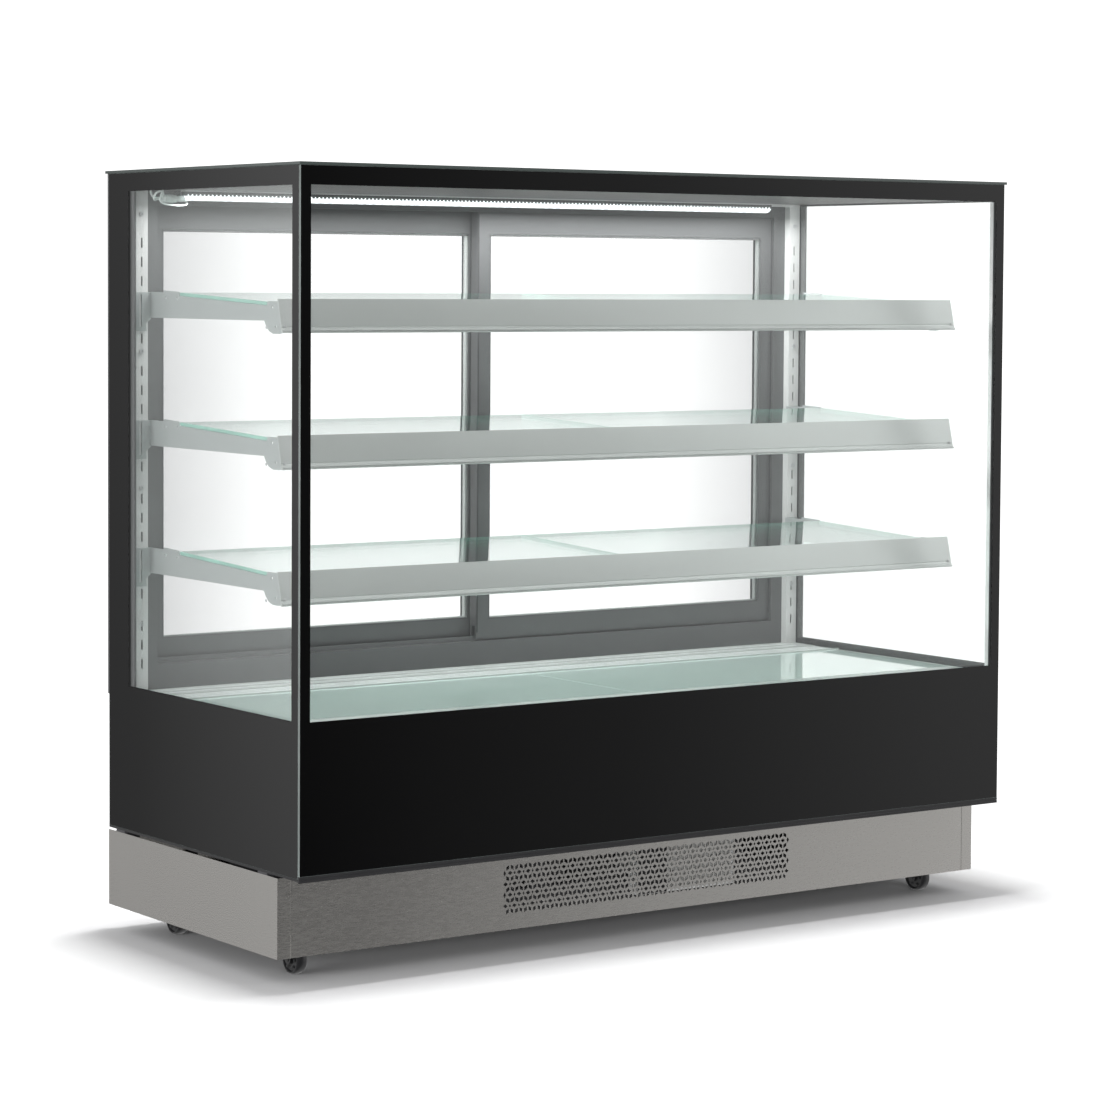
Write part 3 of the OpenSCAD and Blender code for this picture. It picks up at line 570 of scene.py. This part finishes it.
# The clear part of each printed pane: axis, low, high
SIDE_WINDOW = ((Y_AXIS, -HALF_DEPTH + SIDE_FRONT_BORDER, HALF_DEPTH - SIDE_REAR_BORDER),
               (Z_AXIS, WINDOW_LOW, WINDOW_HIGH))
FRONT_WINDOW = ((X_AXIS, -HALF_WIDTH + FRONT_BORDER, HALF_WIDTH - FRONT_BORDER),
                (Z_AXIS, WINDOW_LOW, WINDOW_HIGH))
pane_piece("front_glass", Y_AXIS, LOOKS["clear_glass"], PANE_EDGE, window=FRONT_WINDOW)
for side in SIDES:
    pane_piece(f"{side}_glass", X_AXIS, LOOKS["clear_glass"], PANE_EDGE, window=SIDE_WINDOW)
for side in SIDES:
    pane_piece(f"door_{side}_glass", Y_AXIS, DOOR_PANE, PANE_EDGE)
pane_piece("deck_glass", Z_AXIS, DECK_PANE, SHELF_EDGE)
for number in SHELVES:
    pane_piece(f"shelf_{number}_glass", Z_AXIS, LOOKS["green_glass"], SHELF_EDGE)

# Radius of the broken edges of each node that keeps its shape, in millimetres
BROKEN_EDGES = {
    "base_frame": 1.0, "plinth_side_panels": 0.4, "tank_shell": 2.0,
    "tank_liner": 0.4, "edge_trims": 0.5, "top_panel": 0.8,
    "rear_frame": 0.8, "standard_screws": 0.3, "lamp_channel": 0.4,
    "door_left_frame": 0.6, "door_right_frame": 0.6, "caster_plates": 0.4,
    "condenser": 0.8, "controller": 0.6, "light_switch": 0.5, "power_switch": 0.5,
    "cable_gland": 0.5, "compressor": 1.0,
    **{f"shelf_{number}_rail": 0.15 for number in SHELVES},
    **{f"caster_wheel_{corner}": 0.6 for corner in CORNERS},
}
for node, width in BROKEN_EDGES.items():
    refined(node, width)
for corner in CORNERS:
    refined(f"caster_fork_{corner}", 0.4, material=CASTER_STEEL)

# Nodes shown as they are in CAD take their slot's look, apart from these
OWN_LOOKS = {
    "door_tracks": TRACK, "top_lining": LINING_PAINTED_SHADE, "shelf_standards": STANDARD,
    "deck_ledge": LEDGE, "deck_frame": LEDGE,
    "door_left_spacer": SPACER_METAL, "door_right_spacer": SPACER_METAL,
}
replaced = {node for piece in bpy.data.objects for node in piece.get("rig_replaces", [])}
for node in frame["nodes"]:
    if node not in replaced:
        keep_cad(node, OWN_LOOKS.get(node))


# ------------------------------------------------------------------ small parts
def add_box(bm, low, high):
    """Adds a closed block between two corners."""
    x0, y0, z0 = (c * MM for c in low)
    x1, y1, z1 = (c * MM for c in high)
    corners = [bm.verts.new(p) for p in ((x0, y0, z0), (x1, y0, z0), (x1, y1, z0), (x0, y1, z0),
                                         (x0, y0, z1), (x1, y0, z1), (x1, y1, z1), (x0, y1, z1))]
    for ring in ((3, 2, 1, 0), (4, 5, 6, 7), (0, 1, 5, 4), (1, 2, 6, 5), (2, 3, 7, 6), (3, 0, 4, 7)):
        bm.faces.new([corners[i] for i in ring])


def add_turned(bm, at, axis, profile, sides=24):
    """Adds a closed turned solid; profile lists (radius, distance along the axis), centre to centre."""
    axis = Vector(axis).normalized()
    first = axis.orthogonal().normalized()
    second = axis.cross(first)
    centre = Vector(at) * MM
    rings = []
    for radius, along in profile:
        base = centre + axis * along * MM
        if radius == 0:
            rings.append([bm.verts.new(base)])
            continue
        rings.append([bm.verts.new(base + (first * math.cos(t) + second * math.sin(t)) * radius * MM)
                      for t in (2 * math.pi * k / sides for k in range(sides))])
    for low, high in zip(rings, rings[1:]):
        for k in range(sides):
            m = (k + 1) % sides
            if len(low) == 1:
                bm.faces.new((low[0], high[m], high[k]))
            elif len(high) == 1:
                bm.faces.new((low[k], low[m], high[0]))
            else:
                bm.faces.new((low[k], low[m], high[m], high[k]))


def add_piece(name, bm, body, slot, *materials, bevel=0.0, segments=2):
    """Makes a piece of a bmesh, with broken edges and outward normals; bevel is in millimetres."""
    if bevel:
        bmesh.ops.bevel(bm, geom=sharp_edges(bm), offset=bevel * MM, segments=segments,
                        profile=ROUND_PROFILE, affect="EDGES", clamp_overlap=True)
    bmesh.ops.recalc_face_normals(bm, faces=bm.faces)
    piece = new_piece(name, mesh_of(name, bm))
    return place(piece, body, slot, *(materials or (LOOKS[slot],)))


def tube(name, points, radius, body, slot):
    """A round tube along a smooth path given in millimetres."""
    curve = bpy.data.curves.new(name, "CURVE")
    curve.dimensions = "3D"
    curve.bevel_depth = radius * MM
    curve.bevel_resolution = 4
    curve.use_fill_caps = True
    curve.resolution_u = 8
    spline = curve.splines.new("NURBS")
    spline.points.add(len(points) - 1)
    for point, at in zip(spline.points, points):
        point.co = (*(c * MM for c in at), 1)
    spline.order_u = 4
    spline.use_endpoint_u = True
    holder = bpy.data.objects.new(name + "_path", curve)
    bpy.context.scene.collection.objects.link(holder)
    bpy.context.view_layer.update()
    depsgraph = bpy.context.evaluated_depsgraph_get()
    mesh = bpy.data.meshes.new_from_object(holder.evaluated_get(depsgraph))
    bpy.data.objects.remove(holder)
    mesh.name = name
    for polygon in mesh.polygons:
        polygon.use_smooth = True
    return place(new_piece(name, mesh), body, slot, LOOKS[slot])


# Pan heads with a recess: radius and height above the sheet, in millimetres
SCREW = [(0, 0.0), (2.6, 0.0), (3.2, 0.5), (3.2, 0.9), (2.2, 1.7), (1.1, 1.9), (0.8, 1.0), (0, 1.0)]
SCREW_SMALL = [(0, 0.0), (2.2, 0.0), (2.6, 0.4), (2.6, 0.7), (1.7, 1.3), (0.9, 1.4), (0.6, 0.8), (0, 0.8)]


def rear_screws(name, spots):
    """Screws on the case's back; each spot is where a head meets its sheet."""
    bm = bmesh.new()
    for spot in spots:
        add_turned(bm, spot, (0, 1, 0), SCREW, 20)
    add_piece(name, bm, "cabinet", "screw_steel")


def span(box, axis):
    """The low and high limits of a box along an axis, in millimetres."""
    return box[0][axis] / MM, box[1][axis] / MM


def middle(box, axis):
    """The middle of a box along an axis, in millimetres."""
    return (box[0][axis] + box[1][axis]) / 2 / MM


def make_lamp_details():
    """Teeth along the lens's upper edge, a row of light chips, and the connector with two leads."""
    teeth_from = 1278.6
    bm = clean_copy("lamp_diffuser")
    split_at(bm, (0, 0, teeth_from * MM), (0, 0, 1))
    for face in bm.faces:
        face.material_index = 1 if face.calc_center_median().z > teeth_from * MM else 0
    lens = add_piece("lamp_lens", bm, "cabinet", "lamp_white", LOOKS["lamp_white"], LED_TOOTH)
    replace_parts(lens, "lamp_diffuser")

    chip = [(0, 0), (1.3, 0), (1.3, 1.2), (0.8, 1.8), (0, 2.0)]
    first_chip, chip_pitch, chip_count = -644, 8, 162
    bm = bmesh.new()
    for k in range(chip_count):
        add_turned(bm, (first_chip + k * chip_pitch, 229.2, 1280.2), (0, -0.93, -0.36), chip, 10)
    add_piece("lamp_chips", bm, "cabinet", "lamp_white")

    plug_y, plug_z = 235, 1273
    plug_outline = [(0, 0), (5.2, 0), (5.6, 1), (5.6, 9), (4.6, 10), (4.6, 14), (6.6, 15), (7.0, 17),
                    (7.0, 24), (6.0, 25), (6.0, 27), (7.0, 28), (7.0, 38), (5.4, 41), (3.6, 46), (0, 46)]
    grip_ring = [(0, 0), (7.6, 0), (7.6, 1.6), (0, 1.6)]
    bm = bmesh.new()
    add_turned(bm, (-650, plug_y, plug_z), (-1, 0, 0), plug_outline)
    for x in (-672, -677, -682, -687):
        add_turned(bm, (x, plug_y, plug_z), (-1, 0, 0), grip_ring)
    plug = add_piece("lamp_connector", bm, "cabinet", "lead_clear", bevel=0.2, segments=1)
    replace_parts(plug, "lamp_lead")
    tube("lamp_lead_upper", [(-695, 235, 1273), (-703, 235, 1272), (-709, 232, 1269), (-712, 228, 1275),
                             (-709, 224, 1284), (-700, 223, 1286), (-692, 227, 1282), (-694, 234, 1275),
                             (-703, 239, 1272), (-711, 240, 1278), (-711, 240, 1287.5)],
         2.0, "cabinet", "lead_clear")
    tube("lamp_lead_lower", [(-655, 231, 1271), (-646, 226, 1268), (-648, 224, 1263), (-662, 224, 1261),
                             (-680, 226, 1262), (-694, 228, 1264), (-701, 230, 1270), (-699, 228, 1278),
                             (-694, 226, 1287.5)],
         1.6, "cabinet", "lead_clear")


DOOR_STILE = 29              # millimetres, as the two rails below
DOOR_FOOT = 38
DOOR_HEAD = 53


def make_door_details(side):
    """Ridged and studded glazing spacers, a brush seal along each stile, and glazing gaskets."""
    body = f"door_{side}"
    frame_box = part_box(f"door_{side}_frame")
    x0, x1 = span(frame_box, X_AXIS)
    y0, y1 = span(frame_box, Y_AXIS)
    z0, z1 = span(frame_box, Z_AXIS)
    low, high = z0 + DOOR_FOOT, z1 - DOOR_HEAD
    inner0, inner1 = x0 + DOOR_STILE + 1, x1 - DOOR_STILE - 1

    ridge_pitch, ridge_height, ridge_depth, ridge_inset = 4, 2.1, 0.7, 7.6
    bm = bmesh.new()
    for z in range(int(low) + 4, int(high) - 4, ridge_pitch):
        for edge, facing in ((inner1, -1), (inner0, 1)):
            tip = edge + ridge_depth * facing
            add_box(bm, (min(edge, tip), y0 + ridge_inset, z),
                    (max(edge, tip), y1 - ridge_inset, z + ridge_height))
    add_piece(f"door_{side}_spacer_ridges", bm, body, "aluminium", SPACER_METAL)

    stud, stud_pitch = [(0, 0), (1.5, 0), (1.5, 0.4), (1.0, 0.8), (0, 0.9)], 9
    bm = bmesh.new()
    for x in range(int(inner0) + 6, int(inner1) - 6, stud_pitch):
        add_turned(bm, (x, (y0 + y1) / 2, low + 1), (0, 0, 1), stud, 12)
    add_piece(f"door_{side}_spacer_studs", bm, body, "aluminium", BRIGHT_STUD)

    bm = bmesh.new()
    for edge in (x0 + 0.6, x1 - 2.6):
        add_box(bm, (edge, y0 - 1.6, z0 + 12), (edge + 2, y0 + 0.2, z1 - 12))
    add_piece(f"door_{side}_pile", bm, body, "spacer_dark", BRUSH_SEAL, bevel=0.4, segments=2)

    strips = (((inner0 - 3, low - 2), (inner0 - 0.6, high + 2)),
              ((inner1 + 0.6, low - 2), (inner1 + 3, high + 2)),
              ((inner0 - 3, low - 2.8), (inner1 + 3, low - 0.6)),
              ((inner0 - 3, high + 0.6), (inner1 + 3, high + 2.8)))
    bm = bmesh.new()
    for y, out in ((y0, -0.5), (y1, 0.5)):
        for (left, foot), (right, head) in strips:
            add_box(bm, (left, min(y, y + out), foot), (right, max(y, y + out), head))
    add_piece(f"door_{side}_gasket", bm, body, "spacer_dark", GASKET, bevel=0.2, segments=1)


def make_shelf_details(number):
    """Screw heads on the bracket tabs and rail ends, and clear pads under the glass."""
    body = f"shelf_{number}"
    rail_end = span(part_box(f"shelf_{number}_rail"), X_AXIS)[1]
    top = span(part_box(f"shelf_{number}_rail"), Z_AXIS)[1]
    plate = span(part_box(f"shelf_{number}_brackets"), X_AXIS)[1]
    bm = bmesh.new()
    for side in (-1, 1):
        add_turned(bm, (side * plate, -199, top - 46), (side, 0, 0), SCREW_SMALL, 18)
        add_turned(bm, (side * (rail_end - 7), -221.3, top - 44), (0, -1, 0.25), SCREW_SMALL, 18)
    add_piece(f"shelf_{number}_screws", bm, body, "screw_steel")

    pad = [(0, 0), (4.5, 0), (5.2, 0.5), (5.2, 1.0), (4.6, 1.3), (0, 1.3)]
    pad_x, sink = 698, 0.25
    glass_rear_y, glass_rise, glass_thickness = 143.6, 8.2, 6
    slope = math.tan(math.radians(2.6))
    bm = bmesh.new()
    for side in (-1, 1):
        for y in (120, 20, -80, -140):
            glass_bottom = top + glass_rise - glass_thickness - (glass_rear_y - y) * slope
            add_turned(bm, (side * pad_x, y, glass_bottom - sink), (0, 0, -1), pad, 18)
    add_piece(f"shelf_{number}_pads", bm, body, "lead_clear")


def add_wall_strip(bm, side, x_limits, y_limits, z_limits):
    """Adds an upright strip beside a side glass; side is -1 or 1, and x counts away from the middle."""
    low, high = sorted(side * x for x in x_limits)
    add_box(bm, (low, y_limits[0], z_limits[0]), (high, y_limits[1], z_limits[1]))


def make_side_borders():
    """Grey backs of the printed front borders, coloured near white as painted light, and dark spacer
    strips beside the rear ones.
    """
    for side, name in ((-1, "left"), (1, "right")):
        bm = bmesh.new()
        add_wall_strip(bm, side, (738.0, 737.6), (-311.5, -300.0), (424, 1284))
        add_piece(f"{name}_border_back", bm, "cabinet", "spacer_dark", PRINT_BACK_PAINTED_LIGHT, bevel=0.1, segments=1)
        bm = bmesh.new()
        add_wall_strip(bm, side, (741.6, 745.6), (236.0, 249.0), (432, 1285))
        add_piece(f"{name}_rear_spacer", bm, "cabinet", "spacer_dark", TRACK, bevel=0.2, segments=1)


def make_ledge_details():
    """Fine raised beads along the rear ledge and its step, coloured light as a painted highlight, and the
    seals of the deck's two glasses.
    """
    ledge_half, step_half, seal_half = 736, 705, 729
    bm = bmesh.new()
    for y in (126, 134, 142, 158, 174):
        add_box(bm, (-ledge_half, y, 419.6), (ledge_half, y + 1.6, 420.7))
    for y in (206, 236):
        add_box(bm, (-step_half, y, 420.9), (step_half, y + 1.4, 421.9))
    # the beads carry the painted highlight colour
    add_piece("ledge_beads", bm, "cabinet", "stainless", BEAD_PAINTED_HIGHLIGHT, bevel=0.35, segments=2)
    bm = bmesh.new()
    for y in (-219.4, 112.6):
        add_box(bm, (-seal_half, y, 419.8), (seal_half, y + 1.2, 420.9))
    add_box(bm, (-0.5, -218, 419.0), (0.5, 112, 420.3))
    add_piece("deck_joint_seal", bm, "cabinet", "lead_clear", bevel=0.25, segments=1)


def make_condenser_details():
    """Close fins with end plates and collars behind the perforation, and a dark ribbed plate over the
    condenser's left end: painted shade where the shaded bay beside the condenser shows.
    """
    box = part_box("condenser")
    x0, x1 = span(box, X_AXIS)
    face_y = span(box, Y_AXIS)[0]
    shade_plate_end = x0 + 62
    fin_pitch, fin_width = 2.6, 0.7
    bm = bmesh.new()
    for k in range(int((x1 - shade_plate_end - 4) / fin_pitch)):
        x = shade_plate_end + 1 + k * fin_pitch
        add_box(bm, (x, face_y - 0.9, 76), (x + fin_width, face_y + 0.3, 244))
    add_piece("condenser_fins", bm, "cabinet", "aluminium", CONDENSER_FIN)

    collar = [(0, 0), (4.4, 0), (4.4, 9), (0, 9)]
    bm = bmesh.new()
    for z in range(84, 240, 20):
        add_turned(bm, (x0 - 3.5, face_y + 12, z), (0, 0, 1), collar, 16)
    for low, high in ((x0 - 1.2, x0 + 0.4), (x1 - 0.4, x1 + 1.2)):
        add_box(bm, (low, face_y - 0.8, 70.5), (high, face_y + 24, 249.5))
    add_piece("condenser_ends", bm, "cabinet", "aluminium", bevel=0.3, segments=1)

    # painted shade: a dark ribbed plate over the condenser's left end stands in for the shaded bay there
    bm = bmesh.new()
    add_box(bm, (x0 + 0.6, face_y - 0.6, 71), (shade_plate_end, face_y + 0.3, 249))
    add_box(bm, (shade_plate_end - 1.5, face_y - 1.0, 71), (shade_plate_end, face_y + 0.3, 249))
    for z in range(86, 240, 16):
        add_box(bm, (x0 + 8, face_y - 0.9, z), (shade_plate_end - 8, face_y - 0.5, z + 3))
    add_piece("condenser_painted_shade", bm, "cabinet", "black_plastic", bevel=0.2, segments=1)


def make_rear_panel_details():
    """Screws of the two rear panels, and the louvres' turned lips."""
    rear_y = span(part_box("rear_panel"), Y_AXIS)[1]
    rear_low, rear_high = span(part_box("rear_panel"), Z_AXIS)
    rows = (rear_low + 12, rear_high - 12)
    rear_screws("rear_panel_screws", [(x, rear_y, z) for x in range(-700, 701, 280) for z in rows])
    plinth_y = span(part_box("plinth_rear_panel"), Y_AXIS)[1]
    rear_screws("plinth_rear_screws",
                [(x, plinth_y, z) for x in (-735, -370, 370, 735) for z in (54, 164)])
    louvre_pitch, louvre_width, row_pitch, first_row = 75, 52, 11, 116
    bm = bmesh.new()
    for row in range(5):
        for column in range(9):
            x = (column - 4) * louvre_pitch
            z = first_row + row * row_pitch
            add_box(bm, (x, plinth_y, z + 5), (x + louvre_width, plinth_y + 2.2, z + 6.2))
    add_piece("plinth_louvre_lips", bm, "cabinet", "plinth_steel", bevel=0.4, segments=2)


def make_controller_details():
    """The controller's dark window, without figures, and its four keys."""
    face_y = span(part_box("controller"), Y_AXIS)[1]
    bm = bmesh.new()
    add_box(bm, (570, face_y, 308), (607, face_y + 0.8, 328))
    add_piece("controller_window", bm, "cabinet", "black_plastic", DISPLAY, bevel=0.5)
    key = [(0, 0), (3.6, 0), (3.6, 0.8), (2.9, 1.4), (0, 1.5)]
    bm = bmesh.new()
    for x, z in ((614, 313), (625, 313), (614, 324), (625, 324)):
        add_turned(bm, (x, face_y, z), (0, 1, 0), key, 20)
    add_piece("controller_keys", bm, "cabinet", "black_plastic", LOOKS["zinc_steel"])


def make_gland_ribs():
    """Grip ribs round the nut of the cable gland."""
    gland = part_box("cable_gland")
    x = middle(gland, X_AXIS)
    z = middle(gland, Z_AXIS)
    rib = [(0, 0), (1.0, 0), (1.0, 8), (0, 8)]
    nut_y, nut_radius, ribs = 306, 12.2, 24
    bm = bmesh.new()
    for k in range(ribs):
        turn = 2 * math.pi * k / ribs
        at = (x + math.cos(turn) * nut_radius, nut_y, z + math.sin(turn) * nut_radius)
        add_turned(bm, at, (0, 1, 0), rib, 8)
    add_piece("gland_ribs", bm, "cabinet", "black_plastic")


def make_caster_details(corner):
    """Round studs on both faces of a wheel."""
    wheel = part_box(f"caster_wheel_{corner}")
    x, y, z = (middle(wheel, axis) for axis in (X_AXIS, Y_AXIS, Z_AXIS))
    half = (wheel[1][X_AXIS] - wheel[0][X_AXIS]) / 2 / MM
    stud = [(0, -0.2), (2.6, -0.2), (2.6, 0.2), (1.8, 0.5), (0, 0.6)]
    stud_circle, studs = 14.5, 6
    bm = bmesh.new()
    for side in (-1, 1):
        for k in range(studs):
            turn = 2 * math.pi * k / studs
            at = (x + side * half, y + math.cos(turn) * stud_circle, z + math.sin(turn) * stud_circle)
            add_turned(bm, at, (side, 0, 0), stud, 16)
    add_piece(f"wheel_studs_{corner}", bm, f"wheel_{corner}", "wheel_rubber")


make_lamp_details()
for side in SIDES:
    make_door_details(side)
for number in SHELVES:
    make_shelf_details(number)
make_side_borders()
make_ledge_details()
make_condenser_details()
make_rear_panel_details()
make_controller_details()
make_gland_ribs()
for corner in CORNERS:
    make_caster_details(corner)


# ------------------------------------------------------------------ studio
FLOOR_REACH = 2.4            # metres from the case's middle to the floor's edge
FADE_START = 0.04            # metres from the case's outline
FADE_END = 0.36


def floor_look():
    """Pale floor that fades into the white backdrop away from the case."""
    look = Look("studio_floor")
    paper = look.node("ShaderNodeBsdfDiffuse")
    grain = look.noise(30, 2)
    look.link(look.tone(grain, (0.44, 0.44, 0.445), (0.46, 0.46, 0.465)), paper.inputs["Color"])
    away = look.node("ShaderNodeVectorMath", operation="ABSOLUTE")
    look.link(look.coords, away.inputs[0])
    past = look.node("ShaderNodeVectorMath", operation="SUBTRACT")
    past.inputs[1].default_value = (HALF_WIDTH * MM, HALF_DEPTH * MM, 0)
    look.link(away.outputs[0], past.inputs[0])
    outside = look.node("ShaderNodeVectorMath", operation="MAXIMUM")
    outside.inputs[1].default_value = (0, 0, 0)
    look.link(past.outputs[0], outside.inputs[0])
    reach = look.node("ShaderNodeVectorMath", operation="LENGTH")
    look.link(outside.outputs[0], reach.inputs[0])
    fade = look.remap(reach.outputs["Value"], 0, 1, FADE_START, FADE_END)
    clear = look.node("ShaderNodeBsdfTransparent")
    mix = look.node("ShaderNodeMixShader")
    look.link(fade, mix.inputs["Fac"])
    look.link(paper.outputs[0], mix.inputs[1])
    look.link(clear.outputs[0], mix.inputs[2])
    look.link(mix.outputs[0], look.out.inputs["Surface"])
    return look.mat


def make_floor():
    """The floor under the case, left out of reflections."""
    mesh = bpy.data.meshes.new("floor")
    corners = [(x * FLOOR_REACH, y * FLOOR_REACH, 0) for x, y in ((-1, -1), (1, -1), (1, 1), (-1, 1))]
    mesh.from_pydata(corners, [], [(0, 1, 2, 3)])
    floor = new_piece("floor", mesh)
    floor.data.materials.append(floor_look())
    floor.visible_glossy = False


def make_lamp(name, at, target, size, watts):
    """A rectangular light, in metres and watts, that isn't seen itself or mirrored."""
    data = bpy.data.lights.new(name, "AREA")
    data.shape = "RECTANGLE"
    data.size, data.size_y = size
    data.energy = watts
    lamp = bpy.data.objects.new(name, data)
    bpy.context.scene.collection.objects.link(lamp)
    lamp.location = at
    lamp.rotation_mode = "QUATERNION"
    lamp.rotation_quaternion = (Vector(target) - Vector(at)).to_track_quat("-Z", "Y")
    lamp.visible_glossy = False
    lamp.visible_camera = False


BACKDROP_WHITE = 1.3         # strength of the white that the camera sees

# Brightness of the room's walls against their heading: 0 is behind the case, 90 to its right
WALLS = [(-180, 0.08), (-150, 0.22), (-90, 0.50), (-60, 0.80), (-31, 0.88), (-27.5, 0.28), (0, 0.6),
         (14, 0.92), (80, 0.92), (105, 0.95), (137, 1.0), (143, 0.42), (149, 0.10), (180, 0.08)]


def make_world():
    """White behind the case; for light and reflections a soft room with darker and lighter walls."""
    world = bpy.data.worlds.new("studio")
    bpy.context.scene.world = world
    world.use_nodes = True
    room = Nodes(world.node_tree)
    ray = room.node("ShaderNodeSeparateXYZ")
    room.link(room.node("ShaderNodeTexCoord").outputs["Generated"], ray.inputs[0])

    # the walls' brightness from the heading of a ray
    heading = room.node("ShaderNodeMath", operation="ARCTAN2")
    room.link(ray.outputs["X"], heading.inputs[0])
    room.link(ray.outputs["Y"], heading.inputs[1])
    walls = room.node("ShaderNodeValToRGB")
    stops = walls.color_ramp.elements
    while len(stops) < len(WALLS):
        stops.new(0.5)
    for stop, (degrees, level) in zip(stops, WALLS):
        stop.position = degrees / 360 + 0.5
        stop.color = (level, level, level, 1)
    room.link(room.remap(heading.outputs[0], 0, 1, -math.pi, math.pi), walls.inputs["Fac"])

    # walls that brighten from the floor up, and a light ceiling
    rise = room.remap(ray.outputs["Z"], 0.85, 1.5, -0.2, 0.1)
    ceiling = room.remap(ray.outputs["Z"], 0, 0.6, 0.12, 0.75, interpolation_type="SMOOTHSTEP")
    total = room.node("ShaderNodeMath", operation="MULTIPLY_ADD")
    room.link(walls.outputs["Color"], total.inputs[0])
    room.link(rise, total.inputs[1])
    room.link(ceiling, total.inputs[2])
    light = room.node("ShaderNodeBackground")
    room.link(total.outputs[0], light.inputs["Strength"])

    # plain white for the camera
    backdrop = room.node("ShaderNodeBackground")
    backdrop.inputs["Color"].default_value = (1, 1, 1, 1)
    backdrop.inputs["Strength"].default_value = BACKDROP_WHITE
    mix = room.node("ShaderNodeMixShader")
    room.link(room.node("ShaderNodeLightPath").outputs["Is Camera Ray"], mix.inputs["Fac"])
    room.link(light.outputs[0], mix.inputs[1])
    room.link(backdrop.outputs[0], mix.inputs[2])
    room.link(mix.outputs[0], room.node("ShaderNodeOutputWorld").inputs["Surface"])


make_floor()
make_world()
make_lamp("key", (-1.6, -5.6, 0.95), (0, 0, 0.85), (5.0, 1.8), 290)
make_lamp("side", (-5.6, -0.6, 0.95), (0, 0, 0.85), (4.0, 1.8), 240)
make_lamp("top", (0, 0.1, 4.6), (0, 0, 0), (1.3, 1.3), 640)
make_lamp("case_light", (0, 0.17, 1.272), (0, 0.02, 0), (1.35, 0.10), 13)

scene = bpy.context.scene
scene.view_settings.view_transform = "Standard"
scene.cycles.transparent_max_bounces = 40
